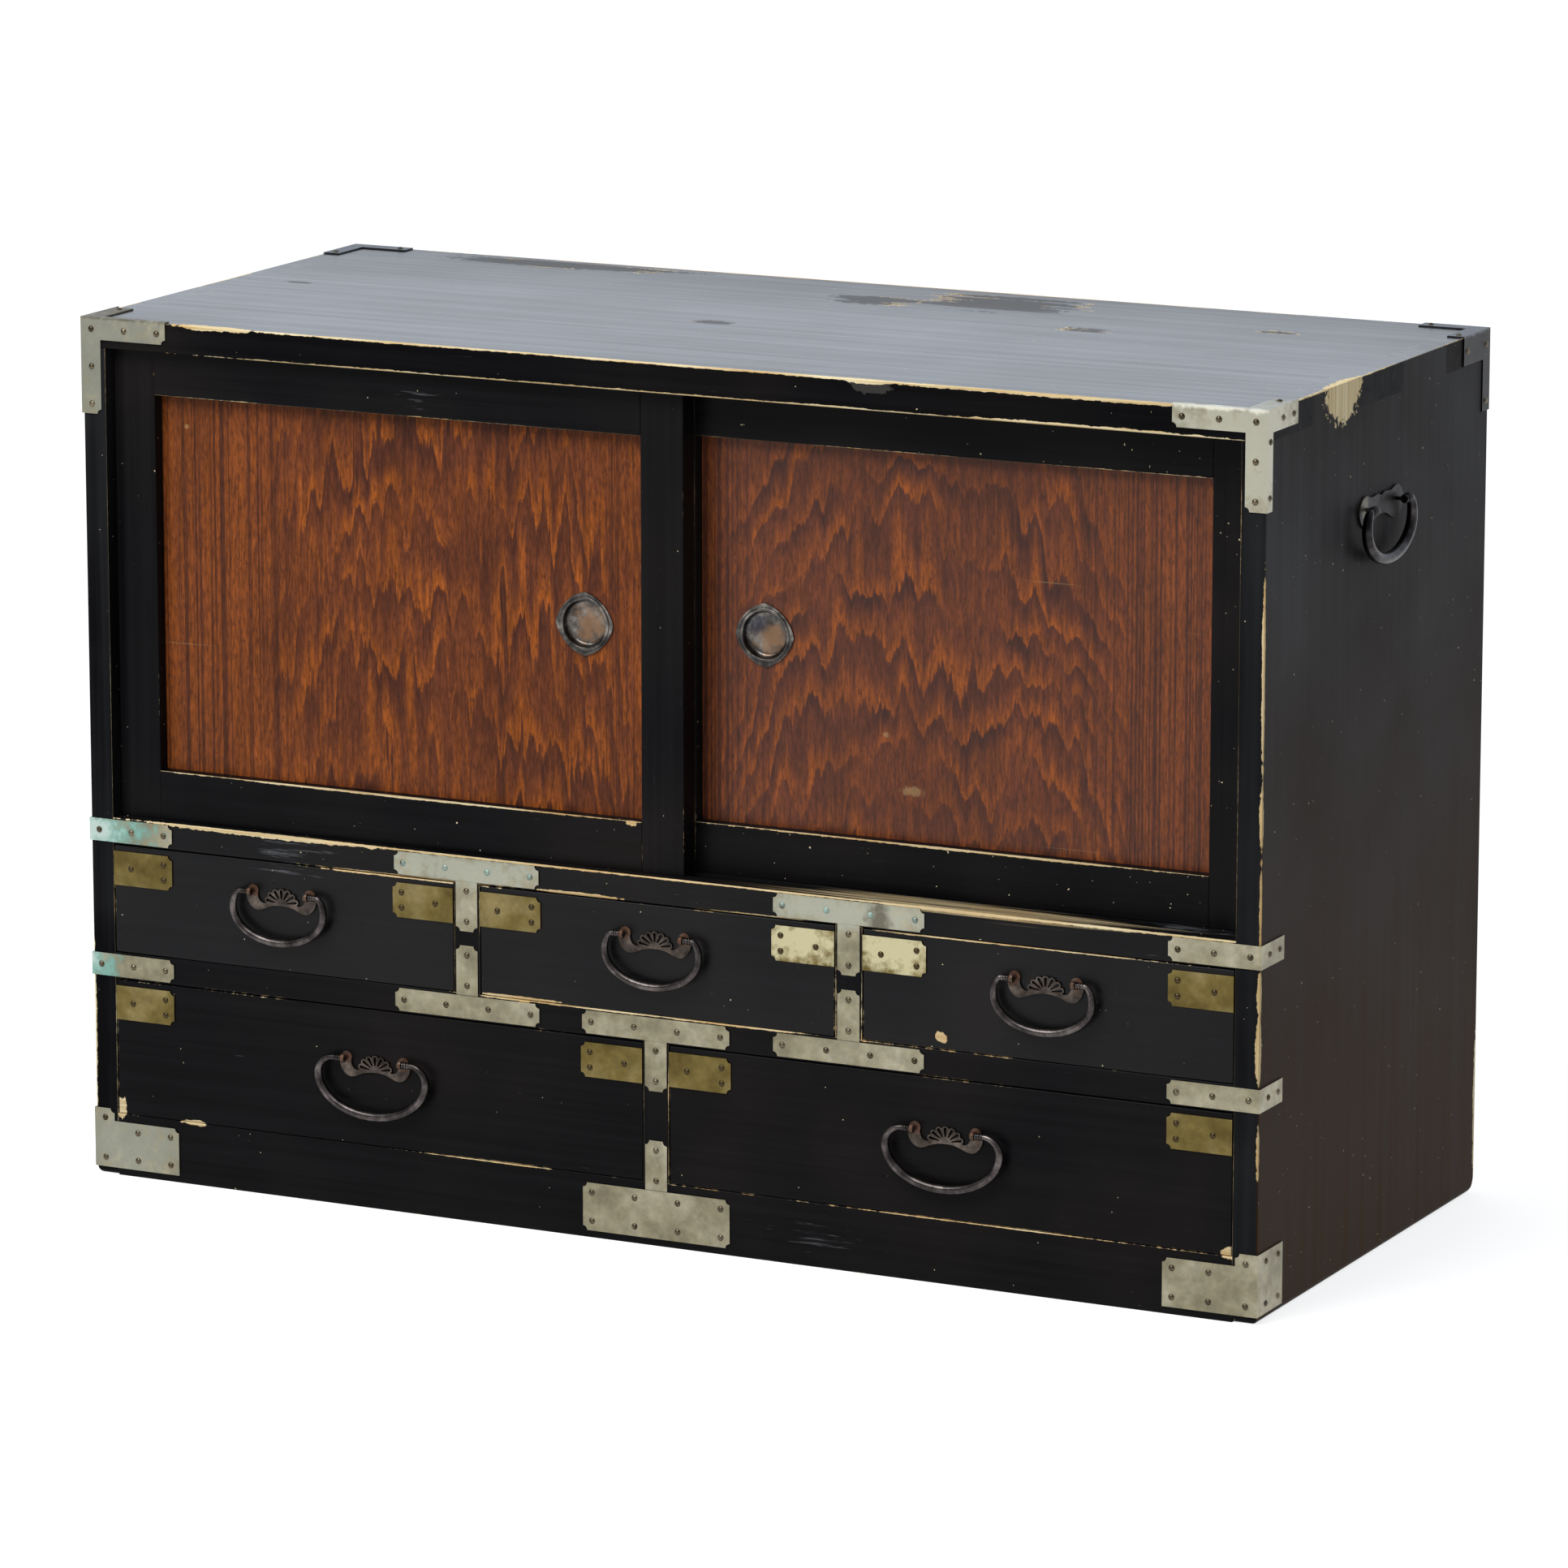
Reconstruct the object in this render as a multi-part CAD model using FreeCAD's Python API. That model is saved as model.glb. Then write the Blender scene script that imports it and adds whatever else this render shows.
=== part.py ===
import FreeCAD, Part
import math
import os

# A low two-door tansu chest with three small and two large drawers.
# Lengths are millimetres: X runs to the right, Y to the back and Z up.

# Carcass boards
chest_width = 909.0
chest_depth = 394.0
chest_height = 624.0
side_thickness = 18.0
top_thickness = 21.0
back_thickness = 9.0
back_rebate = 9.0
bottom_thickness = 12.0
base_rail_height = 46.0
base_rail_thickness = 20.0
large_opening_height = 100.0
middle_rail_height = 19.5
middle_rail_depth = 45.0
small_opening_height = 79.5
sill_height = 19.0
sill_margin = 12.0
upper_divider_width = 20.0
lower_divider_width = 19.5
housing_depth = 6.0
housing_stop = 8.0
arris = 1.0
small_drawer_count = 3
large_drawer_count = 2
finger_count = 5

# Sliding doors and their tracks
door_setback = 11.0
door_thickness = 17.0
door_pass_gap = 2.0
door_side_gap = 0.5
stile_width = 33.0
top_rail_height = 32.0
bottom_rail_height = 35.0
tenon_length = 20.0
tenon_thickness = 6.0
tenon_shoulder = 5.0
panel_setback = 10.0
panel_thickness = 4.5
panel_groove = 6.0
panel_play = 0.5
tongue_thickness = 8.0
tongue_play = 0.3
lower_track_depth = 3.0
upper_track_depth = 9.0
door_lift = 4.0
running_gap = 0.3

# Finger pulls sunk in the door panels
finger_pull_inset = 48.5
finger_pull_reach = 22.5
finger_pull_waist = 20.5
finger_pull_flange = 1.2
finger_rim_radius = 19.2
finger_rim_height = 2.0
finger_rim_round = 0.9
finger_cup_radius = 16.5
finger_cup_wall = 1.0
finger_cup_depth = 5.2
finger_cup_round = 3.2
finger_cup_play = 0.3

# Drawers
drawer_reveal = 0.8
drawer_front_thickness = 16.0
drawer_side_thickness = 9.0
drawer_back_thickness = 9.0
drawer_bottom_thickness = 6.0
drawer_lap = 8.0
drawer_side_drop = 4.0
drawer_stop_gap = 0.5

# Swinging handles: plate, eye posts and bail
handle_reach = 6.5
handle_plate_thickness = 1.6
handle_plate_drop = 13.8
handle_plate_end = 4.2
handle_post_spacing = 46.0
fan_centre_drop = 8.2
fan_half_width = 13.9
fan_height = 11.2
fan_valley_share = 0.87
fan_slit_count = 7
fan_slit_shares = (0.34, 0.86)
fan_slit_width_share = 0.46
slit_crown_share = 0.92
small_bail_width = 79.3
small_bail_drop = 38.6
small_bail_rod = 6.0
small_handle_rise = 17.7
large_bail_width = 93.0
large_bail_drop = 43.5
large_bail_rod = 6.5
large_handle_rise = 13.4
bail_hip_drop = 12.0
bail_neck_share = 0.62
bail_steps = 12
bead_count = 3
bead_length = 1.8
bead_groove = 0.25
bead_radius_share = 0.8
pin_radius = 1.3
pin_play = 0.06
pin_stub = 0.6
eye_radius = 3.1
eye_width = 2.8
post_radius = 1.3
post_play = 0.05
post_burr_radius = 3.2
post_burr = 1.0

# Carrying handles on the two sides
side_handle_drop = 93.0
side_handle_reach = 8.0
side_plate_drop = 13.0
side_plate_crest = 9.5
side_post_spacing = 52.0
side_bail_width = 89.0
side_bail_drop = 40.5
side_bail_rod = 8.4

# Nailed metal fittings
plate_thickness = 1.0
corner_notch = 3.2
top_corner_arm = 68.0
top_corner_width = 15.0
top_corner_side_arm = 50.0
top_corner_side_width = 8.0
top_corner_roof_arm = 45.0
top_corner_roof_width = 5.0
rear_corner_arm = 48.0
rear_corner_width = 12.0
rear_corner_side_depth = 20.0
rear_corner_drop = 57.0
strap_width = 16.5
end_strap_length = 67.0
end_strap_wrap = 38.0
base_corner_length = 69.0
base_plate_height = 34.5
base_plate_rise = 5.5
foot_round_share = 0.85
rear_foot_round = 13.0
base_corner_tab_width = 15.5
base_corner_tab_rise = 9.0
base_corner_wrap = 42.0
bar_length = 115.0
stem_width = 17.0
stem_length = 36.0
stem_sheet = 0.6
drawer_plate_length = 48.0
drawer_plate_height = 25.0
drawer_plate_drop = 4.0
nail_head_radius = 2.3
nail_head_height = 1.3
nail_shank_radius = 0.8
nail_shank_length = 9.0
nail_play = 0.05
nail_inset = 7.0

# Tiny length that tells edges in a face from edges off it, and the run of a cut past a face
hair = 0.001
overrun = 5.0

# Places worked out from the sizes above. The whole part's box is centred on the origin.
inner_half = chest_width / 2 - side_thickness
outer_half = chest_width / 2
front_proud = handle_reach + max(eye_radius, small_bail_rod / 2, large_bail_rod / 2)
front_y = (front_proud - chest_depth - plate_thickness) / 2
back_y = front_y + chest_depth
inside_back_y = back_y - back_thickness
mid_y = (front_y + back_y) / 2
under_bottom_z = base_rail_height - bottom_thickness
large_floor_z = base_rail_height
large_roof_z = large_floor_z + large_opening_height
small_floor_z = large_roof_z + middle_rail_height
small_roof_z = small_floor_z + small_opening_height
sill_top_z = small_roof_z + sill_height
lintel_z = chest_height - top_thickness
side_handle_z = chest_height - side_handle_drop
front_door_y = front_y + door_setback
rear_door_y = front_door_y + door_thickness + door_pass_gap
sill_back_y = rear_door_y + door_thickness + sill_margin
door_width = inner_half + stile_width / 2 - door_side_gap
drawer_back_y = inside_back_y - drawer_stop_gap

RIGHT = FreeCAD.Vector(1, 0, 0)
BACK = FreeCAD.Vector(0, 1, 0)
UP = FreeCAD.Vector(0, 0, 1)

os.makedirs("parts", exist_ok=True)


def point(x, y, z):
    return FreeCAD.Vector(x, y, z)


def block(x_ends, y_ends, z_ends):
    """A box between two places along each axis, given in either order."""
    low = point(min(x_ends), min(y_ends), min(z_ends))
    high = point(max(x_ends), max(y_ends), max(z_ends))
    size = high - low
    return Part.makeBox(size.x, size.y, size.z, low)


def joined(shapes):
    """Several touching shapes as one clean solid."""
    whole = shapes[0]
    if len(shapes) > 1:
        whole = whole.fuse(shapes[1:]).removeSplitter()
    return whole.Solids[0]


def rod(start, direction, radius, length):
    return Part.makeCylinder(radius, length, start, direction)


def eased(shape, lies_on_edge):
    """The shape with its handled arrises rounded, chosen by their bounding boxes."""
    edges = [edge for edge in shape.Edges if lies_on_edge(edge.BoundBox)]
    return shape.makeFillet(arris, edges)


def on_front(box):
    return box.YMax < front_y + hair


def save(name, solids):
    Part.makeCompound(solids).exportStep("parts/" + name + ".step")


# Nails with domed heads. Each nail stands at a place on a plate's face and points outward.
def nail(place, outward):
    cap_radius = (nail_head_radius ** 2 + nail_head_height ** 2) / (2 * nail_head_height)
    turn = math.asin(nail_head_radius / cap_radius) / 2
    cap_middle = point(cap_radius * math.sin(turn), 0, nail_head_height - cap_radius * (1 - math.cos(turn)))
    tip = point(0, 0, -nail_shank_length)
    shank_end = point(nail_shank_radius, 0, -nail_shank_length)
    shank_top = point(nail_shank_radius, 0, 0)
    rim = point(nail_head_radius, 0, 0)
    crown = point(0, 0, nail_head_height)
    edges = [
        Part.makeLine(tip, shank_end),
        Part.makeLine(shank_end, shank_top),
        Part.makeLine(shank_top, rim),
        Part.Arc(rim, cap_middle, crown).toShape(),
        Part.makeLine(crown, tip),
    ]
    solid = Part.Face(Part.Wire(edges)).revolve(point(0, 0, 0), UP, 360)
    solid.Placement = FreeCAD.Placement(place, FreeCAD.Rotation(UP, outward))
    return solid


def pierced(plate, nails):
    """A plate with the holes that its nails pass through."""
    holes = []
    for place, outward in nails:
        start = place + outward * plate_thickness
        holes.append(rod(start, outward * -1, nail_shank_radius + nail_play, plate_thickness * 2))
    return plate.cut(holes).Solids[0]


def front_nails(places):
    """Nails through plates on the front, from (x, z) places."""
    return [(point(x, front_y - plate_thickness, z), BACK * -1) for x, z in places]


def notched(plate, corners):
    """A front plate with a small round bite out of each given corner."""
    bites = []
    for x, z in corners:
        start = point(x, front_y - plate_thickness - overrun, z)
        bites.append(rod(start, BACK, corner_notch, plate_thickness + overrun * 2))
    return plate.cut(bites).Solids[0]


def front_plate(x_ends, z_ends):
    return block(x_ends, (front_y - plate_thickness, front_y), z_ends)


def bar_nail_places(middle_x, z):
    """Four nails spread evenly along a bar."""
    reach = bar_length / 2 - nail_inset
    return [(middle_x + reach * share, z) for share in (-1, -1 / 3, 1 / 3, 1)]


# The boards that run between the sides end in tongues, housed in the side boards.
housings = []


def between_sides(y_ends, z_ends):
    board = block((-inner_half, inner_half), y_ends, z_ends)
    tongue_front = max(min(y_ends), front_y + housing_stop)
    reach = inner_half + housing_depth
    tongue = block((-reach, reach), (tongue_front, max(y_ends)), z_ends)
    housings.append(tongue)
    if min(y_ends) < front_y + hair:
        board = eased(board, lambda box: on_front(box) and box.XLength > inner_half)
    return joined([board, tongue])


def track(door_y, z_ends):
    """The groove for one door, cut along the sill or along the top board."""
    centre = door_y + door_thickness / 2
    half = tongue_thickness / 2 + tongue_play
    return block((-inner_half, inner_half), (centre - half, centre + half), z_ends)


base_rail = between_sides((front_y, front_y + base_rail_thickness), (0, base_rail_height))
rear_base_rail = between_sides((back_y - base_rail_thickness, back_y), (0, under_bottom_z))
bottom_board = between_sides((front_y + base_rail_thickness, inside_back_y), (under_bottom_z, large_floor_z))
middle_rail = between_sides((front_y, front_y + middle_rail_depth), (large_roof_z, small_floor_z))
drawer_shelf = between_sides((front_y + middle_rail_depth, inside_back_y), (large_roof_z, small_floor_z))
door_sill = between_sides((front_y, sill_back_y), (small_roof_z, sill_top_z))
cabinet_floor = between_sides((sill_back_y, inside_back_y), (small_roof_z, sill_top_z))
lower_tracks = [
    track(door_y, (sill_top_z - lower_track_depth, sill_top_z + overrun))
    for door_y in (front_door_y, rear_door_y)
]
door_sill = door_sill.cut(lower_tracks).Solids[0]
save("base_rail", [base_rail])
save("rear_base_rail", [rear_base_rail])
save("bottom_board", [bottom_board])
save("middle_rail", [middle_rail])
save("drawer_shelf", [drawer_shelf])
save("door_sill", [door_sill])
save("cabinet_floor", [cabinet_floor])

# Dividers stand between the drawers, from the front to the back board.
small_opening_width = (2 * inner_half - (small_drawer_count - 1) * upper_divider_width) / small_drawer_count
large_opening_width = (2 * inner_half - (large_drawer_count - 1) * lower_divider_width) / large_drawer_count
small_pitch = small_opening_width + upper_divider_width
large_pitch = large_opening_width + lower_divider_width
upper_divider_x = small_pitch / 2


def divider(middle_x, width, z_ends):
    x_ends = (middle_x - width / 2, middle_x + width / 2)
    return block(x_ends, (front_y, inside_back_y), z_ends)


save("upper_divider_left", [divider(-upper_divider_x, upper_divider_width, (small_floor_z, small_roof_z))])
save("upper_divider_right", [divider(upper_divider_x, upper_divider_width, (small_floor_z, small_roof_z))])
save("lower_divider", [divider(0, lower_divider_width, (large_floor_z, large_roof_z))])

# Side boards stand on the floor, where their outer edges and rear corners are worn round. Their top ends are
# fingers that lock into the top board.
finger_width = chest_depth / finger_count
finger_slots = []
for side in (-1, 1):
    for index in range(1, finger_count, 2):
        slot_front = front_y + index * finger_width
        slot = block(
            (side * inner_half, side * outer_half),
            (slot_front, slot_front + finger_width),
            (lintel_z, chest_height),
        )
        finger_slots.append(slot)


def side_post_bores(side):
    bores = []
    for end in (-1, 1):
        start = point(side * (inner_half - overrun), mid_y + end * side_post_spacing / 2, side_handle_z)
        length = side_thickness + overrun * 2
        bores.append(rod(start, RIGHT * side, post_radius + post_play, length))
    return bores


def worn_rear_foot(side):
    """What wear has taken from the rear lower corner of a side board."""
    x_ends = (side * (inner_half - overrun), side * (outer_half + overrun))
    corner = block(x_ends, (back_y - rear_foot_round, back_y + overrun), (-overrun, rear_foot_round))
    start = point(x_ends[0], back_y - rear_foot_round, rear_foot_round)
    return corner.cut(rod(start, RIGHT * side, rear_foot_round, side_thickness + overrun * 2))


def side_board(side):
    board = block((side * inner_half, side * outer_half), (front_y, back_y), (0, lintel_z))
    board = eased(board, lambda box: on_front(box) and box.ZLength > side_thickness
                  and side * (box.XMin + box.XMax) / 2 > outer_half - hair)
    board = board.makeFillet(base_plate_rise * foot_round_share, [
        edge for edge in board.Edges
        if edge.BoundBox.ZMax < hair and side * edge.BoundBox.Center.x > outer_half - hair])
    own_fingers = [slot for slot in finger_slots if slot.BoundBox.Center.x * side > 0]
    rebate_x = (side * (inner_half - overrun), side * (inner_half + back_rebate))
    rebate = block(rebate_x, (inside_back_y, back_y + overrun), (under_bottom_z, lintel_z))
    board = joined([board] + own_fingers)
    return board.cut(housings + side_post_bores(side) + [rebate, worn_rear_foot(side)]).Solids[0]


save("left_side_board", [side_board(-1)])
save("right_side_board", [side_board(1)])

# The top board covers the sides and carries the doors' upper tracks on its underside.
top_board = block((-outer_half, outer_half), (front_y, back_y), (lintel_z, chest_height))
top_board = eased(top_board, lambda box: on_front(box) and box.XLength > inner_half)
upper_tracks = [
    track(door_y, (lintel_z - overrun, lintel_z + upper_track_depth))
    for door_y in (front_door_y, rear_door_y)
]
top_board = top_board.cut(finger_slots + upper_tracks).Solids[0]
save("top_board", [top_board])

# The back is one thin board in the side boards' rebates.
back_reach = inner_half + back_rebate
back_board = block((-back_reach, back_reach), (inside_back_y, back_y), (under_bottom_z, lintel_z))
save("back_board", [back_board])


# Sliding doors: a tenoned frame round a thin panel, with tongues in the sill and top tracks.
def sliding_door(name, x_low, door_y, pull_x):
    x_high = x_low + door_width
    y_ends = (door_y, door_y + door_thickness)
    foot_z = sill_top_z + running_gap
    head_z = lintel_z - running_gap
    centre_y = door_y + door_thickness / 2
    tongue_y = (centre_y - tongue_thickness / 2, centre_y + tongue_thickness / 2)
    tongue_z = (sill_top_z - lower_track_depth + running_gap, lintel_z + upper_track_depth - door_lift)
    panel_x = (x_low + stile_width, x_high - stile_width)
    panel_z = (foot_z + bottom_rail_height, head_z - top_rail_height)
    panel_y = (door_y + panel_setback, door_y + panel_setback + panel_thickness)

    def panel_block(edge):
        wide = (panel_x[0] - edge, panel_x[1] + edge)
        tall = (panel_z[0] - edge, panel_z[1] + edge)
        return block(wide, panel_y, tall)

    groove = panel_block(panel_groove)
    tenon_y = (centre_y - tenon_thickness / 2, centre_y + tenon_thickness / 2)
    tenon_x = (panel_x[0] - tenon_length, panel_x[1] + tenon_length)
    tenons = [
        block(tenon_x, tenon_y, (foot_z + tenon_shoulder, panel_z[0] - panel_groove)),
        block(tenon_x, tenon_y, (panel_z[1] + panel_groove, head_z - tenon_shoulder)),
    ]
    for side, x_ends in (("left", (x_low, panel_x[0])), ("right", (panel_x[1], x_high))):
        frame = block(x_ends, y_ends, (foot_z, head_z))
        frame = eased(frame, lambda box: box.YMax < door_y + hair and box.ZLength > stile_width)
        stile = joined([frame, block(x_ends, tongue_y, tongue_z)])
        save(name + "_" + side + "_stile", [stile.cut([groove] + tenons).Solids[0]])
    rails = (
        ("bottom", (foot_z, panel_z[0]), (tongue_z[0], panel_z[0]), tenons[0]),
        ("top", (panel_z[1], head_z), (panel_z[1], tongue_z[1]), tenons[1]),
    )
    for end, frame_z, rail_tongue_z, tenon in rails:
        rail = joined([block(panel_x, y_ends, frame_z), block(panel_x, tongue_y, rail_tongue_z), tenon])
        save(name + "_" + end + "_rail", [rail.cut(groove).Solids[0]])
    pull_place = point(pull_x, panel_y[0], (sill_top_z + lintel_z) / 2)
    cup_radius = finger_cup_radius + finger_cup_wall + finger_cup_play
    hole = rod(pull_place - BACK * overrun, BACK, cup_radius, panel_thickness + overrun * 2)
    save(name + "_panel", [panel_block(panel_groove - panel_play).cut(hole)])
    save(name + "_finger_pull", [finger_pull(pull_place)])


def circles_at(shape, y):
    """The round edges of a turned shape that lie at one depth."""
    boxes = [(edge, edge.BoundBox) for edge in shape.Edges]
    return [edge for edge, box in boxes if abs(box.YMin - y) < hair and abs(box.YMax - y) < hair]


def finger_pull(place):
    """A dished cup with a beaded rim and a flange of four bulging arcs, pressed from sheet."""
    tips = [point(finger_pull_reach, 0, 0), point(0, 0, finger_pull_reach)]
    tips += [tip * -1 for tip in tips]
    waist = finger_pull_waist / math.sqrt(2)
    waists = [point(waist, 0, waist), point(-waist, 0, waist)]
    waists += [middle * -1 for middle in waists]
    arcs = [Part.Arc(tips[i], waists[i], tips[(i + 1) % 4]).toShape() for i in range(4)]
    flange = Part.Face(Part.Wire(arcs)).extrude(BACK * -finger_pull_flange)
    mouth = rod(BACK * -overrun, BACK, finger_cup_radius, overrun * 2)
    wall_radius = finger_cup_radius + finger_cup_wall
    floor_y = finger_cup_depth - finger_cup_wall
    profile = [
        point(finger_cup_radius, -finger_rim_height, 0),
        point(finger_rim_radius, -finger_rim_height, 0),
        point(finger_rim_radius, 0, 0),
        point(wall_radius, 0, 0),
        point(wall_radius, finger_cup_depth, 0),
        point(0, finger_cup_depth, 0),
        point(0, floor_y, 0),
        point(finger_cup_radius, floor_y, 0),
    ]
    cup = Part.Face(Part.makePolygon(profile + profile[:1])).revolve(point(0, 0, 0), BACK, 360)
    cup = cup.makeFillet(finger_rim_round, circles_at(cup, -finger_rim_height))
    cup = cup.makeFillet(finger_cup_round, circles_at(cup, floor_y))
    cup = cup.makeFillet(finger_cup_round + finger_cup_wall, circles_at(cup, finger_cup_depth))
    pull = joined([flange.cut(mouth), cup])
    pull.translate(place)
    return pull


left_door_x = -inner_half + door_side_gap
right_door_x = inner_half - door_side_gap - door_width
meeting_edge = left_door_x + door_width - stile_width
sliding_door("left_door", left_door_x, front_door_y, meeting_edge - finger_pull_inset)
sliding_door("right_door", right_door_x, rear_door_y, finger_pull_inset - meeting_edge)


# Handles are built hanging from the origin, with the pivot along X and the wood behind at +Y.
def spline(points):
    curve = Part.BSplineCurve()
    curve.interpolate(points)
    return curve.toShape()


def mirrored(points):
    return [point(-p.x, p.y, p.z) for p in reversed(points)]


def arc(start, middle, end):
    return Part.Arc(start, middle, end).toShape()


plate_lower_shares = ((0, 0.68), (0.45, 0.8), (0.9, 1), (1.17, 0.62))
plate_inner_shares = ((0.83, 0.3), (0.74, 0.55))
side_tip_share = 1.5
side_lower_shares = ((0, 0.5), (0.35, 0.58), (0.75, 0.94), (1.1, 1), (1.38, 0.6))
side_crest_shares = ((1.38, 0.6), (1.04, 1), (0.66, 0.76), (0.36, 0.82), (0.14, 0.78), (0, 0.66))


def post_holes(spacing):
    deep = handle_plate_thickness + overrun * 2
    start_y = -overrun - handle_plate_thickness
    return [
        rod(point(side * spacing / 2, start_y, 0), BACK, post_radius + post_play, deep)
        for side in (-1, 1)
    ]


def plate_solid(edges, holes, spacing):
    """Sheet cut to a closed outline, with its back on the plane y = 0."""
    sheet = Part.Face(Part.Wire(edges)).extrude(BACK * -handle_plate_thickness)
    return sheet.cut(holes + post_holes(spacing)).Solids[0]


def plate_frame(half, drop, end_radius, lower_shares):
    """The lower edge and the two round ends that every handle plate has."""
    right_low = [point(u * half, 0, -v * drop) for u, v in lower_shares]
    outer = point(half + end_radius, 0, 0)
    lower = spline([point(-outer.x, 0, 0)] + mirrored(right_low[1:]) + right_low + [outer])
    inner = point(half - end_radius, 0, 0)
    crown = point(half, 0, end_radius)
    right_end = arc(outer, crown, inner)
    left_end = arc(point(-inner.x, 0, 0), point(-crown.x, 0, crown.z), point(-outer.x, 0, 0))
    return lower, right_end, left_end, inner


def fan_point(angle, radius_share):
    return point(
        fan_half_width * radius_share * math.cos(angle),
        0,
        fan_height * radius_share * math.sin(angle) - fan_centre_drop,
    )


def handle_plate():
    """An iron sheet like a moustache, with a half flower of slit petals in its middle."""
    half = handle_post_spacing / 2
    lower, right_end, left_end, inner = plate_frame(
        half, handle_plate_drop, handle_plate_end, plate_lower_shares)
    step = math.pi / fan_slit_count
    petals = []
    slits = []
    for index in range(fan_slit_count):
        start = fan_point(index * step, fan_valley_share)
        end = fan_point((index + 1) * step, fan_valley_share)
        middle = (index + 0.5) * step
        petals.append(arc(start, fan_point(middle, 1), end))
        spread = step * fan_slit_width_share / 2
        near, far = fan_slit_shares
        corners = [
            fan_point(middle - spread, far),
            fan_point(middle - spread, near),
            fan_point(middle + spread, near),
            fan_point(middle + spread, far),
        ]
        crown = arc(corners[-1], fan_point(middle, slit_crown_share), corners[0])
        slit = Part.Face(Part.Wire(Part.makePolygon(corners).Edges + [crown]))
        slit.translate(BACK * overrun)
        slits.append(slit.extrude(BACK * (-overrun * 2 - handle_plate_thickness)))
    neck = [point(u * half, 0, -v * handle_plate_drop) for u, v in plate_inner_shares]
    first = fan_point(0, fan_valley_share)
    right_neck = spline([inner] + neck + [first])
    left_neck = spline(mirrored([inner] + neck + [first]))
    edges = [lower, right_end, right_neck] + petals + [left_neck, left_end]
    return plate_solid(edges, slits, handle_post_spacing)


def side_handle_plate():
    """A plain sheet with a wavy outline, deepest round its two posts and pointed at its ends."""
    half = side_post_spacing / 2
    tip = point(half * side_tip_share, 0, 0)
    low = [point(u * half, 0, -v * side_plate_drop) for u, v in side_lower_shares]
    lower = spline(mirrored([tip]) + mirrored(low[1:]) + low + [tip])
    crest = [point(u * half, 0, v * side_plate_crest) for u, v in side_crest_shares]
    upper = spline([tip] + crest + mirrored(crest[:-1]) + mirrored([tip]))
    return plate_solid([lower, upper], [], side_post_spacing)


def eye_posts(spacing, reach, board_thickness):
    """Two posts with a bored eye in front, burred over behind the board."""
    posts = []
    for side in (-1, 1):
        middle = point(side * spacing / 2, 0, 0)
        half_eye = eye_width / 2
        slab = block((middle.x - half_eye, middle.x + half_eye), (-overrun, overrun), (-overrun, overrun))
        eye = Part.makeSphere(eye_radius, middle).common(slab)
        stem = rod(middle, BACK, post_radius, reach + board_thickness + post_burr)
        burr = rod(middle + BACK * (reach + board_thickness), BACK, post_burr_radius, post_burr)
        bore = rod(middle - RIGHT * eye_width, RIGHT, pin_radius + pin_play, eye_width * 2)
        posts.append(joined([eye, stem, burr]).cut(bore).Solids[0])
    return posts


def bail(width, drop, rod_diameter, spacing):
    """A forged loop, thickest at the bottom, with beaded ends whose pins turn in the eyes of the posts."""
    radius = rod_diameter / 2
    neck = radius * bail_neck_share
    hip = width / 2 - radius
    belly = drop - radius - bail_hip_drop
    eye_end = spacing / 2 + eye_width / 2
    beads_start = eye_end + running_gap
    beads_end = beads_start + bead_count * (bead_length + bead_groove)
    origin = point(0, 0, 0)
    sections = []
    for index in range(-bail_steps, bail_steps + 1):
        turn = math.pi * index / bail_steps
        inner_x, rise = 0, belly
        if abs(turn) > math.pi / 2:
            inner_x, rise = math.copysign(beads_end, turn), bail_hip_drop
        reach = hip - abs(inner_x)
        thickness = neck + (radius - neck) * math.cos(turn / 2)
        section = Part.Wire(Part.makeCircle(thickness, origin, RIGHT))
        lean = math.atan2(rise * math.sin(turn), reach * math.cos(turn))
        section.rotate(origin, BACK, -math.degrees(lean))
        section.translate(point(inner_x + reach * math.sin(turn), 0, -bail_hip_drop - rise * math.cos(turn)))
        sections.append(section)
    pieces = [Part.makeLoft(sections, True, False).Solids[0]]
    for side in (-1, 1):
        outward = RIGHT * side
        pieces.append(rod(outward * beads_start, outward, neck, beads_end - beads_start))
        for index in range(bead_count):
            middle = beads_start + bead_length / 2 + index * (bead_length + bead_groove)
            ring_radius = radius * bead_radius_share - bead_length / 2
            pieces.append(Part.makeTorus(ring_radius, bead_length / 2, outward * middle, outward))
        pin_start = eye_end - eye_width - pin_stub
        pieces.append(rod(outward * pin_start, outward, pin_radius, beads_end - pin_start))
    return joined(pieces)


def placed(solids, placement):
    moved = []
    for solid in solids:
        copy = solid.copy()
        copy.Placement = placement.multiply(copy.Placement)
        moved.append(copy)
    return moved


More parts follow.
